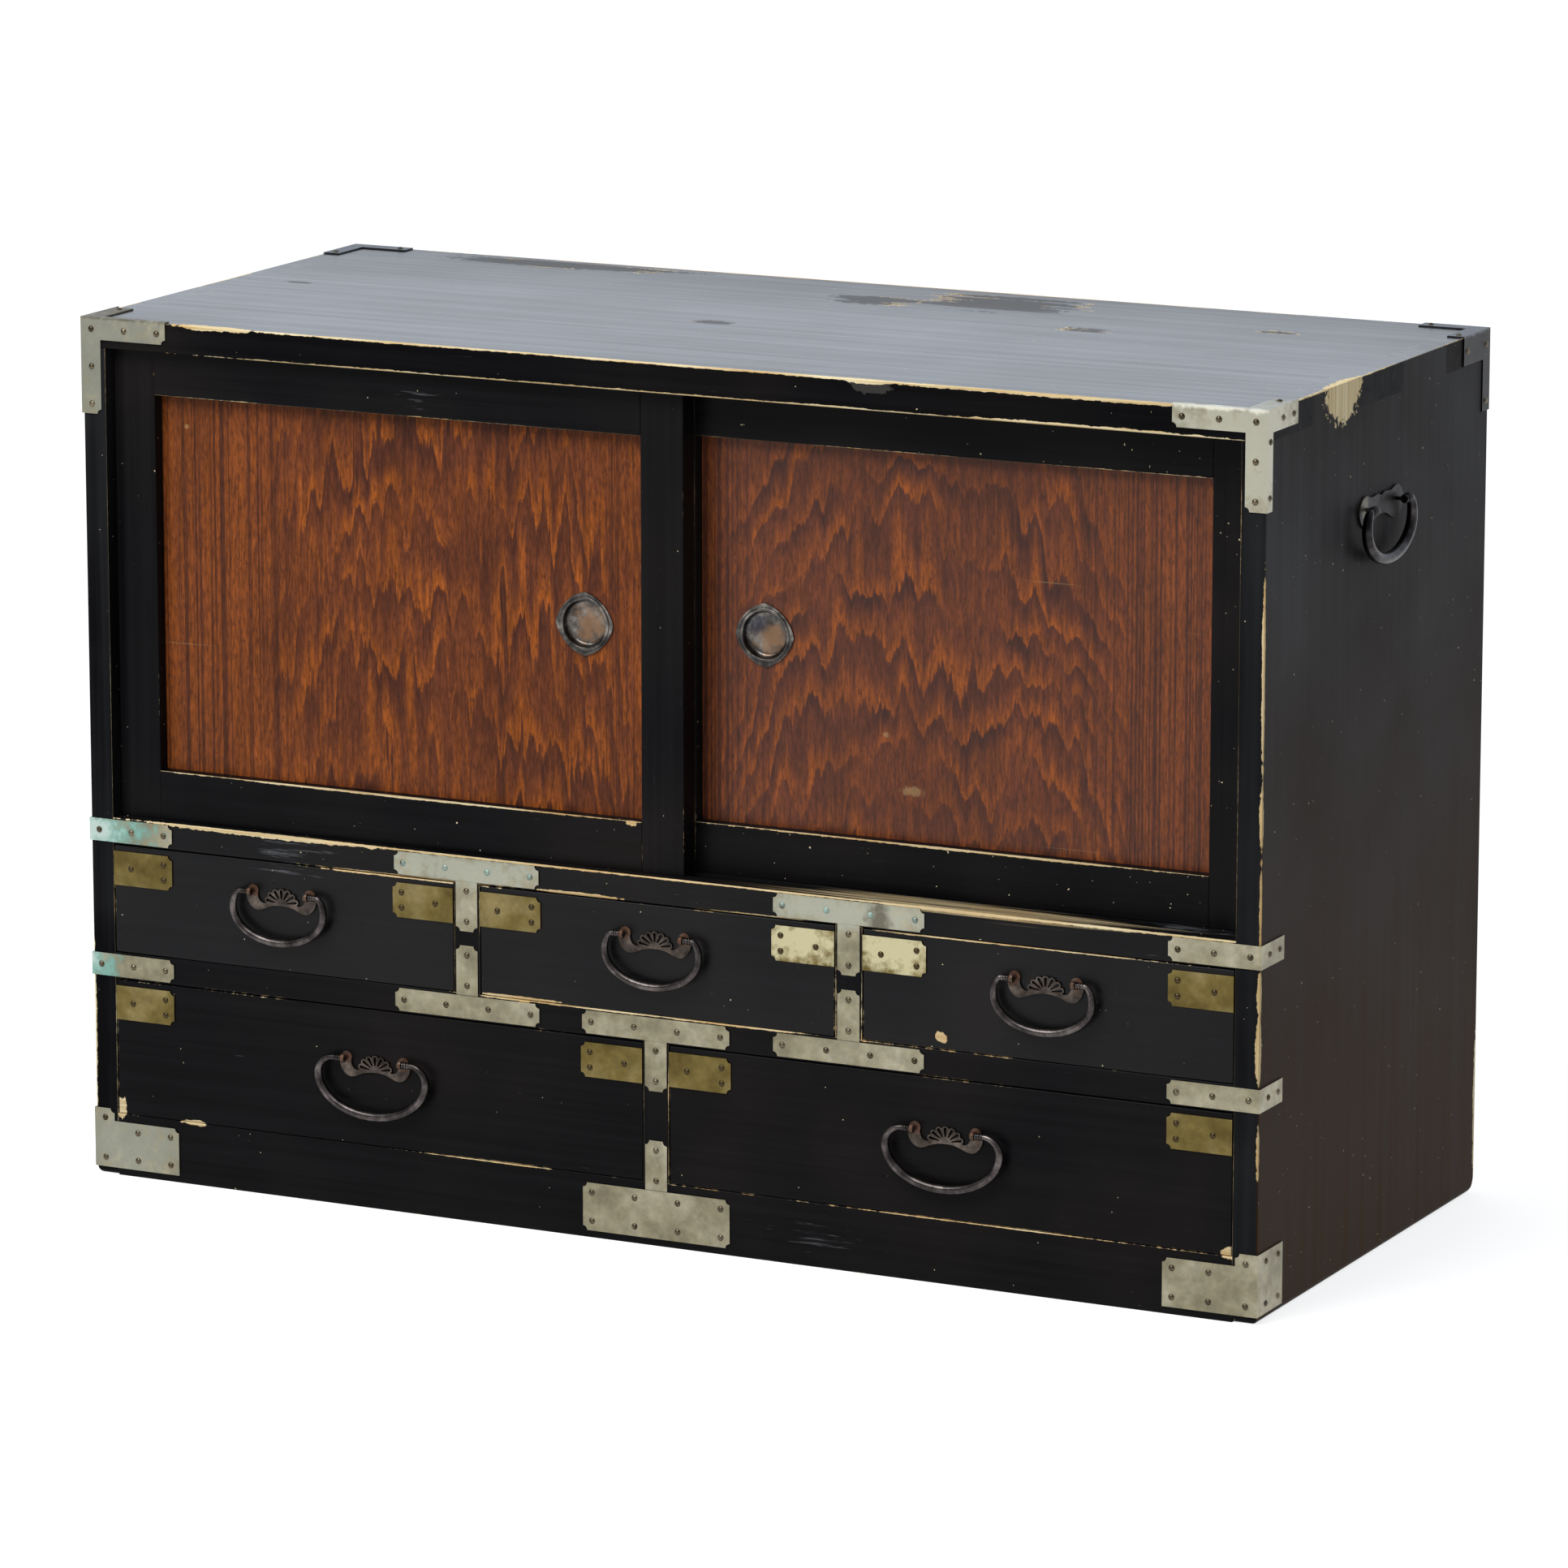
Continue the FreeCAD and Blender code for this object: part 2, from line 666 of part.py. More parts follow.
# Drawers: a lapped front on a plain box, two corner plates and a swinging handle.
def drawer(name, middle_x, opening_width, z_ends, rise, bail_sizes):
    half = opening_width / 2 - drawer_reveal
    x_ends = (middle_x - half, middle_x + half)
    foot_z = z_ends[0] + running_gap
    head_z = z_ends[1] - drawer_reveal
    front_back_y = front_y + drawer_front_thickness
    pivot = point(middle_x, front_y - handle_reach, (z_ends[0] + z_ends[1]) / 2 + rise)
    front = eased(block(x_ends, (front_y, front_back_y), (foot_z, head_z)), on_front)
    laps = []
    sides = []
    side_z = (foot_z + drawer_bottom_thickness, head_z - drawer_side_drop)
    for side in (-1, 1):
        side_x = (middle_x + side * half, middle_x + side * (half - drawer_side_thickness))
        laps.append(block(side_x, (front_back_y - drawer_lap, front_back_y), side_z))
        sides.append(block(side_x, (front_back_y - drawer_lap, drawer_back_y), side_z))
    bores = [
        rod(point(pivot.x + side * handle_post_spacing / 2, front_y - overrun, pivot.z), BACK,
            post_radius + post_play, drawer_front_thickness + overrun * 2)
        for side in (-1, 1)
    ]
    bottom = block(x_ends, (front_back_y, drawer_back_y), (foot_z, side_z[0]))
    inner_x = (x_ends[0] + drawer_side_thickness, x_ends[1] - drawer_side_thickness)
    back = block(inner_x, (drawer_back_y - drawer_back_thickness, drawer_back_y), side_z)
    save(name + "_drawer_front", [front.cut(laps + bores).Solids[0]])
    save(name + "_drawer_box", sides + [back, bottom])

    plate_top = head_z - drawer_plate_drop
    plate_z = (plate_top - drawer_plate_height, plate_top)
    fittings = []
    for side in (-1, 1):
        edge_x = middle_x + side * half
        free_x = edge_x - side * drawer_plate_length
        plate = front_plate((edge_x, free_x), plate_z)
        plate = notched(plate, [(free_x, plate_z[0]), (free_x, plate_z[1])])
        nails = front_nails([
            (edge_x - side * nail_inset * 2, (plate_z[0] + plate_z[1]) / 2),
            (free_x + side * nail_inset, plate_z[0] + nail_inset),
            (free_x + side * nail_inset, plate_z[1] - nail_inset),
        ])
        fittings.append(pierced(plate, nails))
        fittings += [nail(place, outward) for place, outward in nails]
    save(name + "_corner_plates", fittings)

    on_wood = FreeCAD.Placement(pivot + BACK * handle_reach, FreeCAD.Rotation())
    at_pivot = FreeCAD.Placement(pivot, FreeCAD.Rotation())
    posts = eye_posts(handle_post_spacing, handle_reach, drawer_front_thickness)
    save(name + "_handle_plate", placed([handle_plate()], on_wood) + placed(posts, at_pivot))
    save(name + "_bail", placed([bail(*bail_sizes, handle_post_spacing)], at_pivot))


small_bail = (small_bail_width, small_bail_drop, small_bail_rod)
large_bail = (large_bail_width, large_bail_drop, large_bail_rod)
for index, name in enumerate(("small_left", "small_middle", "small_right")):
    middle_x = (index - (small_drawer_count - 1) / 2) * small_pitch
    drawer(name, middle_x, small_opening_width, (small_floor_z, small_roof_z), small_handle_rise, small_bail)
for index, name in enumerate(("large_left", "large_right")):
    middle_x = (index - (large_drawer_count - 1) / 2) * large_pitch
    drawer(name, middle_x, large_opening_width, (large_floor_z, large_roof_z), large_handle_rise, large_bail)

# Carrying handles, the same on both sides.
side_plates = []
for side, name in ((-1, "left"), (1, "right")):
    turn = FreeCAD.Rotation(UP, side * 90)
    on_wood = FreeCAD.Placement(point(side * outer_half, mid_y, side_handle_z), turn)
    at_pivot = FreeCAD.Placement(on_wood.Base + RIGHT * (side * side_handle_reach), turn)
    side_plates += placed([side_handle_plate()], on_wood)
    side_plates += placed(eye_posts(side_post_spacing, side_handle_reach, side_thickness), at_pivot)
    loop = bail(side_bail_width, side_bail_drop, side_bail_rod, side_post_spacing)
    save(name + "_side_bail", placed([loop], at_pivot))
save("side_handle_plates", side_plates)

# Metal fittings on the carcass. Each list collects the plates of one kind, and all nails share a list.
carcass_nails = []


def wrapped(shapes, nails):
    """One bent plate from its flat faces, with its nail holes."""
    carcass_nails.extend(nails)
    return pierced(joined(shapes), nails)


def side_nails(side, places):
    """Nails through plates on a side, from (distance behind the front, z) places."""
    x = side * (outer_half + plate_thickness)
    return [(point(x, front_y + back, z), RIGHT * side) for back, z in places]


def roof_nails(places):
    return [(point(x, y, chest_height + plate_thickness), UP) for x, y in places]


skin_x = outer_half + plate_thickness
skin_front_y = front_y - plate_thickness
skin_back_y = back_y + plate_thickness
skin_top_z = chest_height + plate_thickness
front_corners = []
rear_corners = []
base_corners = []
end_straps = []
for side in (-1, 1):
    edge_x = side * skin_x
    on_side = (side * outer_half, edge_x)
    on_roof = (chest_height, skin_top_z)

    arm_x = side * (outer_half - top_corner_arm)
    post_x = side * (outer_half - top_corner_width)
    arm_z = chest_height - top_corner_width
    foot_z = chest_height - top_corner_arm
    front_arm = notched(front_plate((arm_x, edge_x), (arm_z, skin_top_z)), [(arm_x, arm_z)])
    front_post = notched(front_plate((post_x, edge_x), (foot_z, skin_top_z)), [(post_x, foot_z)])
    faces = [
        front_arm,
        front_post,
        block(on_side, (skin_front_y, front_y + top_corner_side_width), (foot_z, skin_top_z)),
        block(on_side, (skin_front_y, front_y + top_corner_side_arm), (arm_z, skin_top_z)),
        block((post_x, edge_x), (skin_front_y, front_y + top_corner_roof_arm), on_roof),
        block((arm_x, edge_x), (skin_front_y, front_y + top_corner_roof_width), on_roof),
    ]
    mid_width = top_corner_width / 2
    reach_far = top_corner_arm - nail_inset
    reach_mid = (reach_far + mid_width) / 2
    nails = front_nails([
        (side * (outer_half - reach_far), chest_height - mid_width),
        (side * (outer_half - reach_mid), chest_height - mid_width),
        (side * (outer_half - mid_width), chest_height - mid_width),
        (side * (outer_half - mid_width), chest_height - reach_mid),
        (side * (outer_half - mid_width), chest_height - reach_far),
    ])
    side_mid = top_corner_side_width / 2
    nails += side_nails(side, [
        (side_mid, chest_height - reach_far + nail_head_radius),
        (side_mid, chest_height - (reach_mid + mid_width) / 2),
        (top_corner_side_arm / 2, chest_height - mid_width),
        (top_corner_side_arm - nail_inset, chest_height - mid_width),
    ])
    nails += roof_nails([(side * (outer_half - mid_width), front_y + top_corner_roof_arm - nail_inset)])
    front_corners.append(wrapped(faces, nails))

    arm_x = side * (outer_half - rear_corner_arm)
    post_x = side * (outer_half - rear_corner_width)
    arm_y = back_y - rear_corner_arm
    post_y = back_y - rear_corner_width
    arm_z = chest_height - rear_corner_side_depth
    foot_z = chest_height - rear_corner_drop
    faces = [
        block(on_side, (arm_y, skin_back_y), (arm_z, skin_top_z)),
        block(on_side, (post_y, skin_back_y), (foot_z, skin_top_z)),
        block((post_x, edge_x), (arm_y, skin_back_y), on_roof),
        block((arm_x, edge_x), (post_y, skin_back_y), on_roof),
        block((arm_x, edge_x), (back_y, skin_back_y), (chest_height - rear_corner_width, skin_top_z)),
        block((post_x, edge_x), (back_y, skin_back_y), (foot_z, skin_top_z)),
    ]
    mid_width = rear_corner_width / 2
    nails = side_nails(side, [
        (chest_depth - rear_corner_arm + nail_inset, chest_height - rear_corner_side_depth / 2),
        (chest_depth - mid_width, chest_height - rear_corner_side_depth / 2),
        (chest_depth - mid_width, chest_height - rear_corner_drop + nail_inset),
    ])
    nails += roof_nails([
        (side * (outer_half - mid_width), arm_y + nail_inset),
        (arm_x + side * nail_inset, back_y - mid_width),
    ])
    rear_corners.append(wrapped(faces, nails))

    inner_x = side * (outer_half - base_corner_length)
    tab_x = side * (outer_half - base_corner_tab_width)
    plate_top = base_plate_rise + base_plate_height
    tab_top = plate_top + base_corner_tab_rise
    foot = notched(front_plate((inner_x, edge_x), (base_plate_rise, plate_top)), [(inner_x, plate_top)])
    tab = notched(front_plate((tab_x, edge_x), (base_plate_rise, tab_top)), [(tab_x, tab_top)])
    cheek = block(on_side, (skin_front_y, front_y + base_corner_wrap), (base_plate_rise, tab_top))
    low_z = base_plate_rise + nail_inset
    high_z = plate_top - nail_inset
    tab_mid = base_corner_tab_width / 2
    far = base_corner_length - nail_inset
    middle = (far + tab_mid) / 2
    rows = [(far, low_z), (far, high_z), (middle, low_z), (middle, high_z)]
    rows += [(tab_mid, low_z), (tab_mid, tab_top - nail_inset)]
    nails = front_nails([(side * (outer_half - inward), z) for inward, z in rows])
    near = nail_inset * 2
    cheek_far = base_corner_wrap - nail_inset
    nails += side_nails(side, [(near, low_z), (near, tab_top - nail_inset)])
    nails += side_nails(side, [(cheek_far, low_z), (cheek_far, tab_top - nail_inset)])
    base_corners.append(wrapped([foot, tab, cheek], nails))

    for rail_z in ((small_roof_z + sill_top_z) / 2, (large_roof_z + small_floor_z) / 2):
        z_ends = (rail_z - strap_width / 2, rail_z + strap_width / 2)
        inner_x = side * (outer_half - end_strap_length)
        strap = front_plate((inner_x, edge_x), z_ends)
        strap = notched(strap, [(inner_x, z_ends[0]), (inner_x, z_ends[1])])
        wrap = block(on_side, (skin_front_y, front_y + end_strap_wrap), z_ends)
        far = end_strap_length - nail_inset
        reaches = (far, (far + nail_inset) / 2, nail_inset)
        nails = front_nails([(side * (outer_half - inward), rail_z) for inward in reaches])
        nails += side_nails(side, [(nail_inset * 2, rail_z), (end_strap_wrap - nail_inset, rail_z)])
        end_straps.append(wrapped([strap, wrap], nails))
save("front_top_corner_plates", front_corners)
save("rear_top_corner_plates", rear_corners)
save("base_corner_plates", base_corners)
save("end_straps", end_straps)


# Bars along the rails, with stems of thinner sheet on the dividers, above or below.
def tee(middle_x, bar_z_ends, stem_direction, bar_nails):
    bar_x = (middle_x - bar_length / 2, middle_x + bar_length / 2)
    bar = notched(front_plate(bar_x, bar_z_ends), [(x, z) for x in bar_x for z in bar_z_ends])
    root_z = max(bar_z_ends) if stem_direction > 0 else min(bar_z_ends)
    tip_z = root_z + stem_direction * stem_length
    stem_x = (middle_x - stem_width / 2, middle_x + stem_width / 2)
    strip = block(stem_x, (front_y - stem_sheet, front_y), (root_z, tip_z))
    stem = notched(strip, [(x, tip_z) for x in stem_x])
    stem_ends = [(middle_x, root_z + stem_direction * nail_inset)]
    stem_ends.append((middle_x, tip_z - stem_direction * nail_inset))
    sunk = BACK * (plate_thickness - stem_sheet)
    stem_nails = [(place + sunk, outward) for place, outward in front_nails(stem_ends)]
    return wrapped([bar, stem], front_nails(bar_nails) + stem_nails)


sill_z = (small_roof_z + sill_top_z) / 2
rail_z = (large_roof_z + small_floor_z) / 2
sill_bar = (sill_z - strap_width / 2, sill_z + strap_width / 2)
rail_bar = (rail_z - strap_width / 2, rail_z + strap_width / 2)
base_bar = (base_plate_rise, base_plate_rise + base_plate_height)
tees = []
for divider_x in (-upper_divider_x, upper_divider_x):
    tees.append(tee(divider_x, sill_bar, -1, bar_nail_places(divider_x, sill_z)))
    tees.append(tee(divider_x, rail_bar, 1, bar_nail_places(divider_x, rail_z)))
tees.append(tee(0, rail_bar, -1, bar_nail_places(0, rail_z)))
base_rows = bar_nail_places(0, base_bar[0] + nail_inset) + bar_nail_places(0, base_bar[1] - nail_inset)
tees.append(tee(0, base_bar, 1, base_rows))
save("divider_straps", tees)
save("carcass_nails", [nail(place, outward) for place, outward in carcass_nails])
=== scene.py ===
import bpy
import math
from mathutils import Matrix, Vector


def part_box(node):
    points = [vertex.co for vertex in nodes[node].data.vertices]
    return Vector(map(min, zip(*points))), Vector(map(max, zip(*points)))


# A low tansu chest: a lacquered softwood carcass with two sliding doors over five drawers.
# Lengths are metres, and sizes written in millimetres are multiplied by MM.
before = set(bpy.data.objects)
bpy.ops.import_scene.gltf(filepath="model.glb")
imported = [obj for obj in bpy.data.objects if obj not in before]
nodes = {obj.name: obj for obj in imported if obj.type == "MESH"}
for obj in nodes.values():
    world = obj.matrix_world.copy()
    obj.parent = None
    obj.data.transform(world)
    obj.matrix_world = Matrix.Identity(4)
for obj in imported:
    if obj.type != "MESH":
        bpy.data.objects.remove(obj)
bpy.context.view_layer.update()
MM = 0.001

# Carcass: softwood boards, finger-jointed at the top and housed in the sides, then lacquered black.
# Years of use have rubbed the lacquer off the arrises, down to pale wood, and scuffed the broad faces grey,
# and a painted grey sheen runs along their brush streaks.
LACQUER_BLACK = "#08080A"
LACQUER_BROWN = "#38220A"
LACQUER_SCUFF_AND_SHEEN = "#5C5E62"
WORN_WOOD_PALE = "#E6D6AE"
WORN_WOOD_TAN = "#C6AA78"
WORN_WOOD_ORANGE = "#C9974F"
PEELED_FILM = "#3A3836"
PEELED_ROUGHNESS = 0.62
BARE_WOOD_ROUGHNESS = 0.75
WAX_ROUGHNESS = 0.17
FAR_AWAY = 99
FRONT_MM = -192.6
RIGHT_MM = 454.5
TOP_EDGE = 624


def linear(colour):
    """The linear colour that a shader takes, from an sRGB hex value."""
    parts = [int(colour[i:i + 2], 16) / 255 for i in (1, 3, 5)]
    return [p / 12.92 if p < 0.04045 else ((p + 0.055) / 1.055) ** 2.4 for p in parts] + [1]


def add(tree, kind, inputs=None, ramp=None, **settings):
    """A shader node with its settings. Nodes and sockets among the inputs are linked, others are values."""
    node = tree.nodes.new("ShaderNode" + kind)
    for name, value in settings.items():
        setattr(node, name, value)
    for name, value in (inputs or {}).items():
        if isinstance(value, bpy.types.Node):
            value = value.outputs[2 if getattr(value, "data_type", "") == "RGBA" else 0]
        if isinstance(value, bpy.types.NodeSocket):
            tree.links.new(value, node.inputs[name])
        else:
            node.inputs[name].default_value = value
    if ramp:
        stops = node.color_ramp.elements
        while len(stops) < len(ramp):
            stops.new(1)
        for stop, (place, colour) in zip(stops, ramp):
            stop.position = place
            stop.color = linear(colour)
    return node


def new_material(name):
    """An empty node material, its tree and its Principled shader."""
    material = bpy.data.materials.new(name)
    material.use_nodes = True
    tree = material.node_tree
    tree.nodes.clear()
    shader = add(tree, "BsdfPrincipled")
    add(tree, "OutputMaterial", {"Surface": shader})
    return material, tree, shader


def finish(tree, shader, colour, roughness, height, depth_mm, strength):
    """Links a material's colour, roughness and relief to its shader."""
    bump = add(tree, "Bump", {"Height": height, "Strength": strength, "Distance": depth_mm * MM})
    tree.links.new(colour.outputs[2], shader.inputs["Base Color"])
    tree.links.new(roughness.outputs[0], shader.inputs["Roughness"])
    tree.links.new(bump.outputs[0], shader.inputs["Normal"])


def per_mm(*sizes):
    """What to multiply a place by, so that one cell is this many millimetres along each axis."""
    return [1 / (size * MM) for size in sizes]


def nearness(tree, place, spots):
    """How far a place is from the nearest spot: 0 at its centre, 1 where its radii in millimetres end."""
    nearest = FAR_AWAY
    for centre, radii in spots:
        away = add(tree, "VectorMath", {0: place, 1: [c * MM for c in centre]}, operation="SUBTRACT")
        scaled = add(tree, "VectorMath", {0: away, 1: per_mm(*radii)}, operation="MULTIPLY")
        length = add(tree, "VectorMath", {0: scaled}, operation="LENGTH").outputs["Value"]
        nearest = add(tree, "Math", {0: nearest, 1: length}, operation="MINIMUM")
    return nearest


def coat(material, *names):
    """Puts a material on CAD nodes."""
    for name in names:
        nodes[name].data.materials.clear()
        nodes[name].data.materials.append(material)


def wear(material, strength, *names):
    """Puts on a material that wears at the edges, which it finds from each node's own box."""
    coat(material, *names)
    for name in names:
        low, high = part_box(name)
        nodes[name]["low"] = list(low)
        nodes[name]["high"] = list(high)
        nodes[name]["wear"] = strength


def black_lacquer(name, streak_mm, ior, gloss, chips=(), rubbed=(), scuff_and_sheen_places=(), peeled=(), fade=None):
    """Aged urushi lacquer on wood: near black and half glossy, with brush streaks along the grain, grey
    scuffs, pale flecks, and bare wood in thin broken lines where edges are rubbed or chipped. A grey haze
    along the brush streaks is painted sheen. Only the chest's upper face is waxed, and mirrors the room.
    Worn and scuffed places are centres and radii in millimetres, and a scuffed place is also used to paint
    a reflection. Fade is the two heights between which brown turns to black and the painted sheen grows."""
    material, tree, shader = new_material(name)
    place = add(tree, "TexCoord").outputs["Object"]
    low, high, rubbing = [add(tree, "Attribute", attribute_type="OBJECT", attribute_name=what)
                          for what in ("low", "high", "wear")]
    from_low = add(tree, "VectorMath", {0: place, 1: low.outputs["Vector"]}, operation="SUBTRACT")
    from_high = add(tree, "VectorMath", {0: high.outputs["Vector"], 1: place}, operation="SUBTRACT")
    inset = add(tree, "VectorMath", {0: from_low, 1: from_high}, operation="MINIMUM")
    x, y, z = add(tree, "SeparateXYZ", {0: inset}).outputs
    lesser = add(tree, "Math", {0: x, 1: y}, operation="MINIMUM")
    greater = add(tree, "Math", {0: x, 1: y}, operation="MAXIMUM")
    capped = add(tree, "Math", {0: greater, 1: z}, operation="MINIMUM")
    edge = add(tree, "Math", {0: lesser, 1: capped}, operation="MAXIMUM")
    marks = {}
    for mark, sizes, detail, roughness in (
            ("stretches", (70, 70, 70), 2, 0.5),
            ("bits", (6, 6, 6), 4, 0.65),
            ("streaks", streak_mm, 4, 0.6),
            ("clouds", (140, 140, 140), 3, 0.5),
            ("scuffs_and_sheen_spots", [size * 0.12 + 2 for size in streak_mm], 3, 0.7),
            ("flecks", (2.6, 2.6, 2.6), 1, 0.5),
            ("fibres", [max(size * 0.2, 0.8) for size in streak_mm], 3, 0.5)):
        cells = add(tree, "VectorMath", {0: place, 1: per_mm(*sizes)}, operation="MULTIPLY")
        marks[mark] = add(tree, "TexNoise", {
            "Vector": cells, "Scale": 1, "Detail": detail, "Roughness": roughness})

    long_rub = add(tree, "MapRange", {0: marks["stretches"], 1: 0.47, 2: 0.64, 3: 0, 4: 1})
    ragged = add(tree, "MapRange", {0: marks["bits"], 1: 0.36, 2: 0.7, 3: 0, 4: 1.9 * MM})
    reach = add(tree, "Math", {0: long_rub, 1: ragged}, operation="MULTIPLY")
    reach = add(tree, "Math", {0: reach, 1: rubbing.outputs["Fac"]}, operation="MULTIPLY")
    over = add(tree, "Math", {0: reach, 1: edge}, operation="SUBTRACT")
    bare = add(tree, "MapRange", {0: over, 1: -0.1 * MM, 2: 0.1 * MM})
    if chips:
        torn = add(tree, "Math", {0: marks["bits"], 1: 1.6, 2: nearness(tree, place, chips)},
                   operation="MULTIPLY_ADD")
        torn = add(tree, "Math", {0: marks["stretches"], 1: 1.4, 2: torn}, operation="MULTIPLY_ADD")
        chipped = add(tree, "MapRange", {0: torn, 1: 2.56, 2: 2.48})
        bare = add(tree, "Math", {0: bare, 1: chipped}, operation="MAXIMUM")
    if rubbed:
        cover = add(tree, "MapRange", {0: nearness(tree, place, rubbed), 1: 1, 2: 0.5, 3: 0, 4: 0.5})
        worn = add(tree, "Math", {0: marks["streaks"], 1: cover}, operation="ADD")
        worn = add(tree, "MapRange", {0: worn, 1: 0.86, 2: 1.1, 3: 0, 4: 0.7})
        bare = add(tree, "Math", {0: bare, 1: worn}, operation="MAXIMUM")

    browning = add(tree, "MapRange", {0: marks["clouds"], 1: 0.45, 2: 0.8, 3: 0, 4: 0.12})
    # The grey haze along the brush streaks is painted sheen, and on the outer faces of the sides it is
    # painted stronger toward the top.
    streak_sheen_share = 0.06
    across, depth, height = add(tree, "SeparateXYZ", {0: place}).outputs
    if fade:
        out = add(tree, "Math", {0: across}, operation="ABSOLUTE")
        broad = add(tree, "Math", {0: out, 1: (RIGHT_MM - 0.6) * MM}, operation="GREATER_THAN")
        fading = add(tree, "MapRange", {0: height, 1: fade[1] * MM, 2: fade[0] * MM, 3: 0.15, 4: 1.1})
        streaked = add(tree, "MapRange", {0: marks["streaks"], 1: 0.3, 2: 0.7, 3: 0.5, 4: 1})
        fading = add(tree, "Math", {0: fading, 1: streaked}, operation="MULTIPLY", use_clamp=True)
        browning = add(tree, "Math", {0: fading, 1: broad}, operation="MULTIPLY")
        sheen_toward_top = add(tree, "MapRange", {0: height, 1: fade[0] * MM, 2: fade[1] * MM, 3: 0.03, 4: 0.44})
        streak_sheen_share = add(tree, "Mix", {0: broad, 2: 0.18, 3: sheen_toward_top})
    body = add(tree, "Mix", {
        0: browning, 6: linear(LACQUER_BLACK), 7: linear(LACQUER_BROWN)}, data_type="RGBA")
    scuffs_and_sheen_spots = marks["scuffs_and_sheen_spots"]
    if scuff_and_sheen_places:
        dense = add(tree, "MapRange", {0: nearness(tree, place, scuff_and_sheen_places), 1: 1.2, 2: 0.2, 3: 0, 4: 0.19})
        scuffs_and_sheen_spots = add(tree, "Math", {0: scuffs_and_sheen_spots, 1: dense}, operation="ADD")
    brushed = add(tree, "Math", {0: marks["clouds"], 1: marks["streaks"]}, operation="ADD")
    streak_sheen = add(tree, "MapRange", {0: brushed, 1: 0.78, 2: 1.42, 3: 0, 4: streak_sheen_share})
    grey_scuff_and_sheen = add(tree, "MapRange", {0: scuffs_and_sheen_spots, 1: 0.7, 2: 0.86, 3: 0, 4: 0.8})
    grey_scuff_and_sheen = add(tree, "Math", {0: grey_scuff_and_sheen, 1: streak_sheen}, operation="MAXIMUM")
    body = add(tree, "Mix", {0: grey_scuff_and_sheen, 6: body, 7: linear(LACQUER_SCUFF_AND_SHEEN)}, data_type="RGBA")
    specks = add(tree, "MapRange", {0: marks["flecks"], 1: 0.79, 2: 0.81})
    body = add(tree, "Mix", {0: specks, 6: body, 7: linear(WORN_WOOD_PALE)}, data_type="RGBA")
    wood = add(tree, "ValToRGB", {0: marks["fibres"]}, ramp=[(0.35, WORN_WOOD_TAN), (0.6, WORN_WOOD_PALE)])
    aged = add(tree, "MapRange", {0: marks["clouds"], 1: 0.48, 2: 0.62, 3: 0, 4: 0.45})
    wood = add(tree, "Mix", {0: aged, 6: wood, 7: linear(WORN_WOOD_ORANGE)}, data_type="RGBA")
    sheen = add(tree, "MapRange", {0: marks["streaks"], 1: 0.3, 2: 0.7, 3: gloss[0], 4: gloss[1]})
    if peeled:
        lifted = add(tree, "Math", {0: marks["bits"], 1: 1.2, 2: nearness(tree, place, peeled)},
                     operation="MULTIPLY_ADD")
        lifted = add(tree, "Math", {0: marks["streaks"], 1: 2.6, 2: lifted}, operation="MULTIPLY_ADD")
        inside = add(tree, "MapRange", {0: lifted, 1: 2.8, 2: 2.72})
        rim = add(tree, "MapRange", {0: lifted, 1: 2.88, 2: 2.84})
        fringe = add(tree, "Math", {0: rim, 1: inside}, operation="SUBTRACT")
        torn_off = add(tree, "MapRange", {0: marks["stretches"], 1: 0.5, 2: 0.55})
        fringe = add(tree, "Math", {0: fringe, 1: torn_off}, operation="MULTIPLY")
        body = add(tree, "Mix", {0: inside, 6: body, 7: linear(PEELED_FILM)}, data_type="RGBA")
        sheen = add(tree, "Mix", {0: inside, 2: sheen, 3: PEELED_ROUGHNESS})
        bare = add(tree, "Math", {0: bare, 1: fringe}, operation="MAXIMUM")
    colour = add(tree, "Mix", {0: bare, 6: body, 7: wood}, data_type="RGBA")
    rough = add(tree, "Mix", {0: bare, 2: sheen, 3: BARE_WOOD_ROUGHNESS})
    film = add(tree, "Math", {0: bare, 1: -1.4, 2: marks["fibres"]}, operation="MULTIPLY_ADD")
    finish(tree, shader, colour, rough, film, depth_mm=0.12, strength=0.22)
    shader.inputs["IOR"].default_value = ior
    upper = add(tree, "Math", {0: height, 1: (TOP_EDGE - 0.5) * MM}, operation="GREATER_THAN")
    buffed = add(tree, "MapRange", {0: brushed, 1: 0.7, 2: 1.3, 3: 1, 4: 0.8})
    left_on = add(tree, "MapRange", {0: depth, 1: 40 * MM, 2: 200 * MM, 3: 1, 4: 0.72})
    wax = add(tree, "Math", {0: upper, 1: buffed}, operation="MULTIPLY")
    wax = add(tree, "Math", {0: wax, 1: left_on}, operation="MULTIPLY")
    for gone, share in ([(bare, 1), (inside, 0.6)] if peeled else [(bare, 1)]):
        kept = add(tree, "Math", {0: gone, 1: -share, 2: 1}, operation="MULTIPLY_ADD")
        wax = add(tree, "Math", {0: wax, 1: kept}, operation="MULTIPLY")
    tree.links.new(wax.outputs[0], shader.inputs["Coat Weight"])
    shader.inputs["Coat Roughness"].default_value = WAX_ROUGHNESS
    return material


